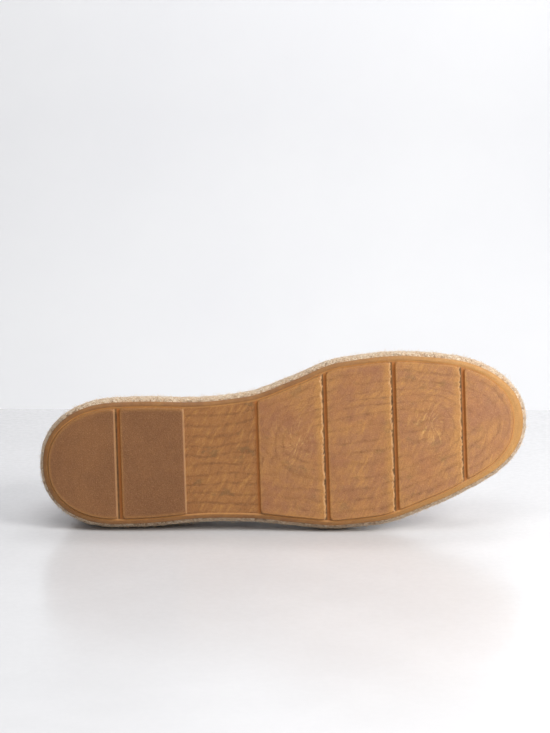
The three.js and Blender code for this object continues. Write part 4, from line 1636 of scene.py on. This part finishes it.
class StageSettings(bpy.types.PropertyGroup):
    lens: FloatProperty(name="Lens", description="Focal length in millimetres", default=88.5, min=20)
    distance: FloatProperty(
        name="Camera distance",
        description="From the camera to the point that it faces",
        default=1.073,
        unit="LENGTH",
    )
    pitch: FloatProperty(
        name="Looking down",
        description="How far the camera looks down",
        default=np.radians(9.2),
        subtype="ANGLE",
    )
    yaw: FloatProperty(
        name="From the heel's side",
        description="How far the camera stands round towards the heel",
        default=np.radians(-0.7),
        subtype="ANGLE",
    )
    aim: FloatVectorProperty(
        name="Aim",
        description="The point in the middle of the picture",
        default=(-0.0051, -0.047, 0.1022),
        size=3,
        subtype="XYZ",
    )


def settings():
    return bpy.context.scene.espadrille


class ESPADRILLE_OT_sole(bpy.types.Operator):
    """Build the rubber sole with its pads and grooves"""

    bl_idname = "espadrille.build_sole"
    bl_label = "Rubber sole"

    def execute(self, context):
        sole = settings().sole
        dress(build_outsole(sole.steps, sole.columns), "gum_rubber", "outsole")
        return {"FINISHED"}


class ESPADRILLE_OT_jute(bpy.types.Operator):
    """Build the plaited jute wall and its loose fibres"""

    bl_idname = "espadrille.build_jute"
    bl_label = "Jute"

    def execute(self, context):
        jute = settings().jute
        dress(build_jute(jute.steps, jute.levels), "jute", "jute_midsole")
        dress(build_jute_fuzz(jute.hairs, jute.hair_length), "jute")
        return {"FINISHED"}


class ESPADRILLE_OT_upper(bpy.types.Operator):
    """Build the suede upper, its heel counter and the insole"""

    bl_idname = "espadrille.build_upper"
    bl_label = "Upper"

    def execute(self, context):
        upper = settings().upper
        dress(build_upper(upper.steps, upper.levels), "suede", "upper")
        counter = build_counter(upper.counter_steps, upper.counter_levels)
        dress(counter, "counter_suede", "heel_counter")
        dress(build_insole(upper.steps, upper.insole_columns), "insole_leather", "insole")
        return {"FINISHED"}


class ESPADRILLE_OT_stitches(bpy.types.Operator):
    """Sew the upper to the jute and its panels to each other"""

    bl_idname = "espadrille.build_stitches"
    bl_label = "Stitches"

    def execute(self, context):
        stitch = settings().stitch
        dress(build_blanket_stitch(stitch.pitch, stitch.cord), "jute")
        dress(build_topstitch(stitch.step, stitch.thread), "suede")
        return {"FINISHED"}


class ESPADRILLE_OT_stage(bpy.types.Operator):
    """Set up the table, the lamps and the camera"""

    bl_idname = "espadrille.build_stage"
    bl_label = "Table, lamps and camera"

    def execute(self, context):
        stage = settings().stage
        build_stage()
        scene = context.scene
        world = bpy.data.worlds.new("Studio")
        world.use_nodes = True
        background = world.node_tree.nodes["Background"].inputs
        background["Color"].default_value = WORLD_TINT
        background["Strength"].default_value = WORLD_STRENGTH
        scene.world = world
        for name, values in LAMPS.items():
            add_light(name, *values)
        down, yaw = stage.pitch, stage.yaw
        look = Vector((np.sin(yaw) * np.cos(down), np.cos(yaw) * np.cos(down), -np.sin(down)))
        camera = bpy.data.cameras.new("Camera")
        camera.lens = stage.lens
        holder = bpy.data.objects.new("Camera", camera)
        holder.location = Vector(stage.aim) - look * stage.distance
        holder.rotation_euler = look.to_track_quat("-Z", "Y").to_euler()
        scene.collection.objects.link(holder)
        scene.camera = holder
        scene.view_settings.view_transform = "Standard"
        return {"FINISHED"}


class EspadrilleSettings(bpy.types.PropertyGroup):
    sole: PointerProperty(type=SoleSettings)
    jute: PointerProperty(type=JuteSettings)
    upper: PointerProperty(type=UpperSettings)
    stitch: PointerProperty(type=StitchSettings)
    stage: PointerProperty(type=StageSettings)


OPERATORS = (
    ESPADRILLE_OT_sole,
    ESPADRILLE_OT_jute,
    ESPADRILLE_OT_upper,
    ESPADRILLE_OT_stitches,
    ESPADRILLE_OT_stage,
)


class ESPADRILLE_PT_panel(bpy.types.Panel):
    """The steps that build the espadrille"""

    bl_idname = "ESPADRILLE_PT_panel"
    bl_label = "Espadrille"
    bl_space_type = "VIEW_3D"
    bl_region_type = "UI"
    bl_category = "Espadrille"

    def draw(self, context):
        for operator in OPERATORS:
            self.layout.operator(operator.bl_idname)


CLASSES = (
    SoleSettings,
    JuteSettings,
    UpperSettings,
    StitchSettings,
    StageSettings,
    EspadrilleSettings,
    *OPERATORS,
    ESPADRILLE_PT_panel,
)


def register():
    for cls in CLASSES:
        bpy.utils.register_class(cls)
    bpy.types.Scene.espadrille = PointerProperty(type=EspadrilleSettings)


def unregister():
    del bpy.types.Scene.espadrille
    for cls in reversed(CLASSES):
        bpy.utils.unregister_class(cls)


def main():
    register()
    bpy.ops.espadrille.build_sole()
    bpy.ops.espadrille.build_jute()
    bpy.ops.espadrille.build_upper()
    bpy.ops.espadrille.build_stitches()
    bpy.ops.espadrille.build_stage()


if __name__ == "__main__":
    main()
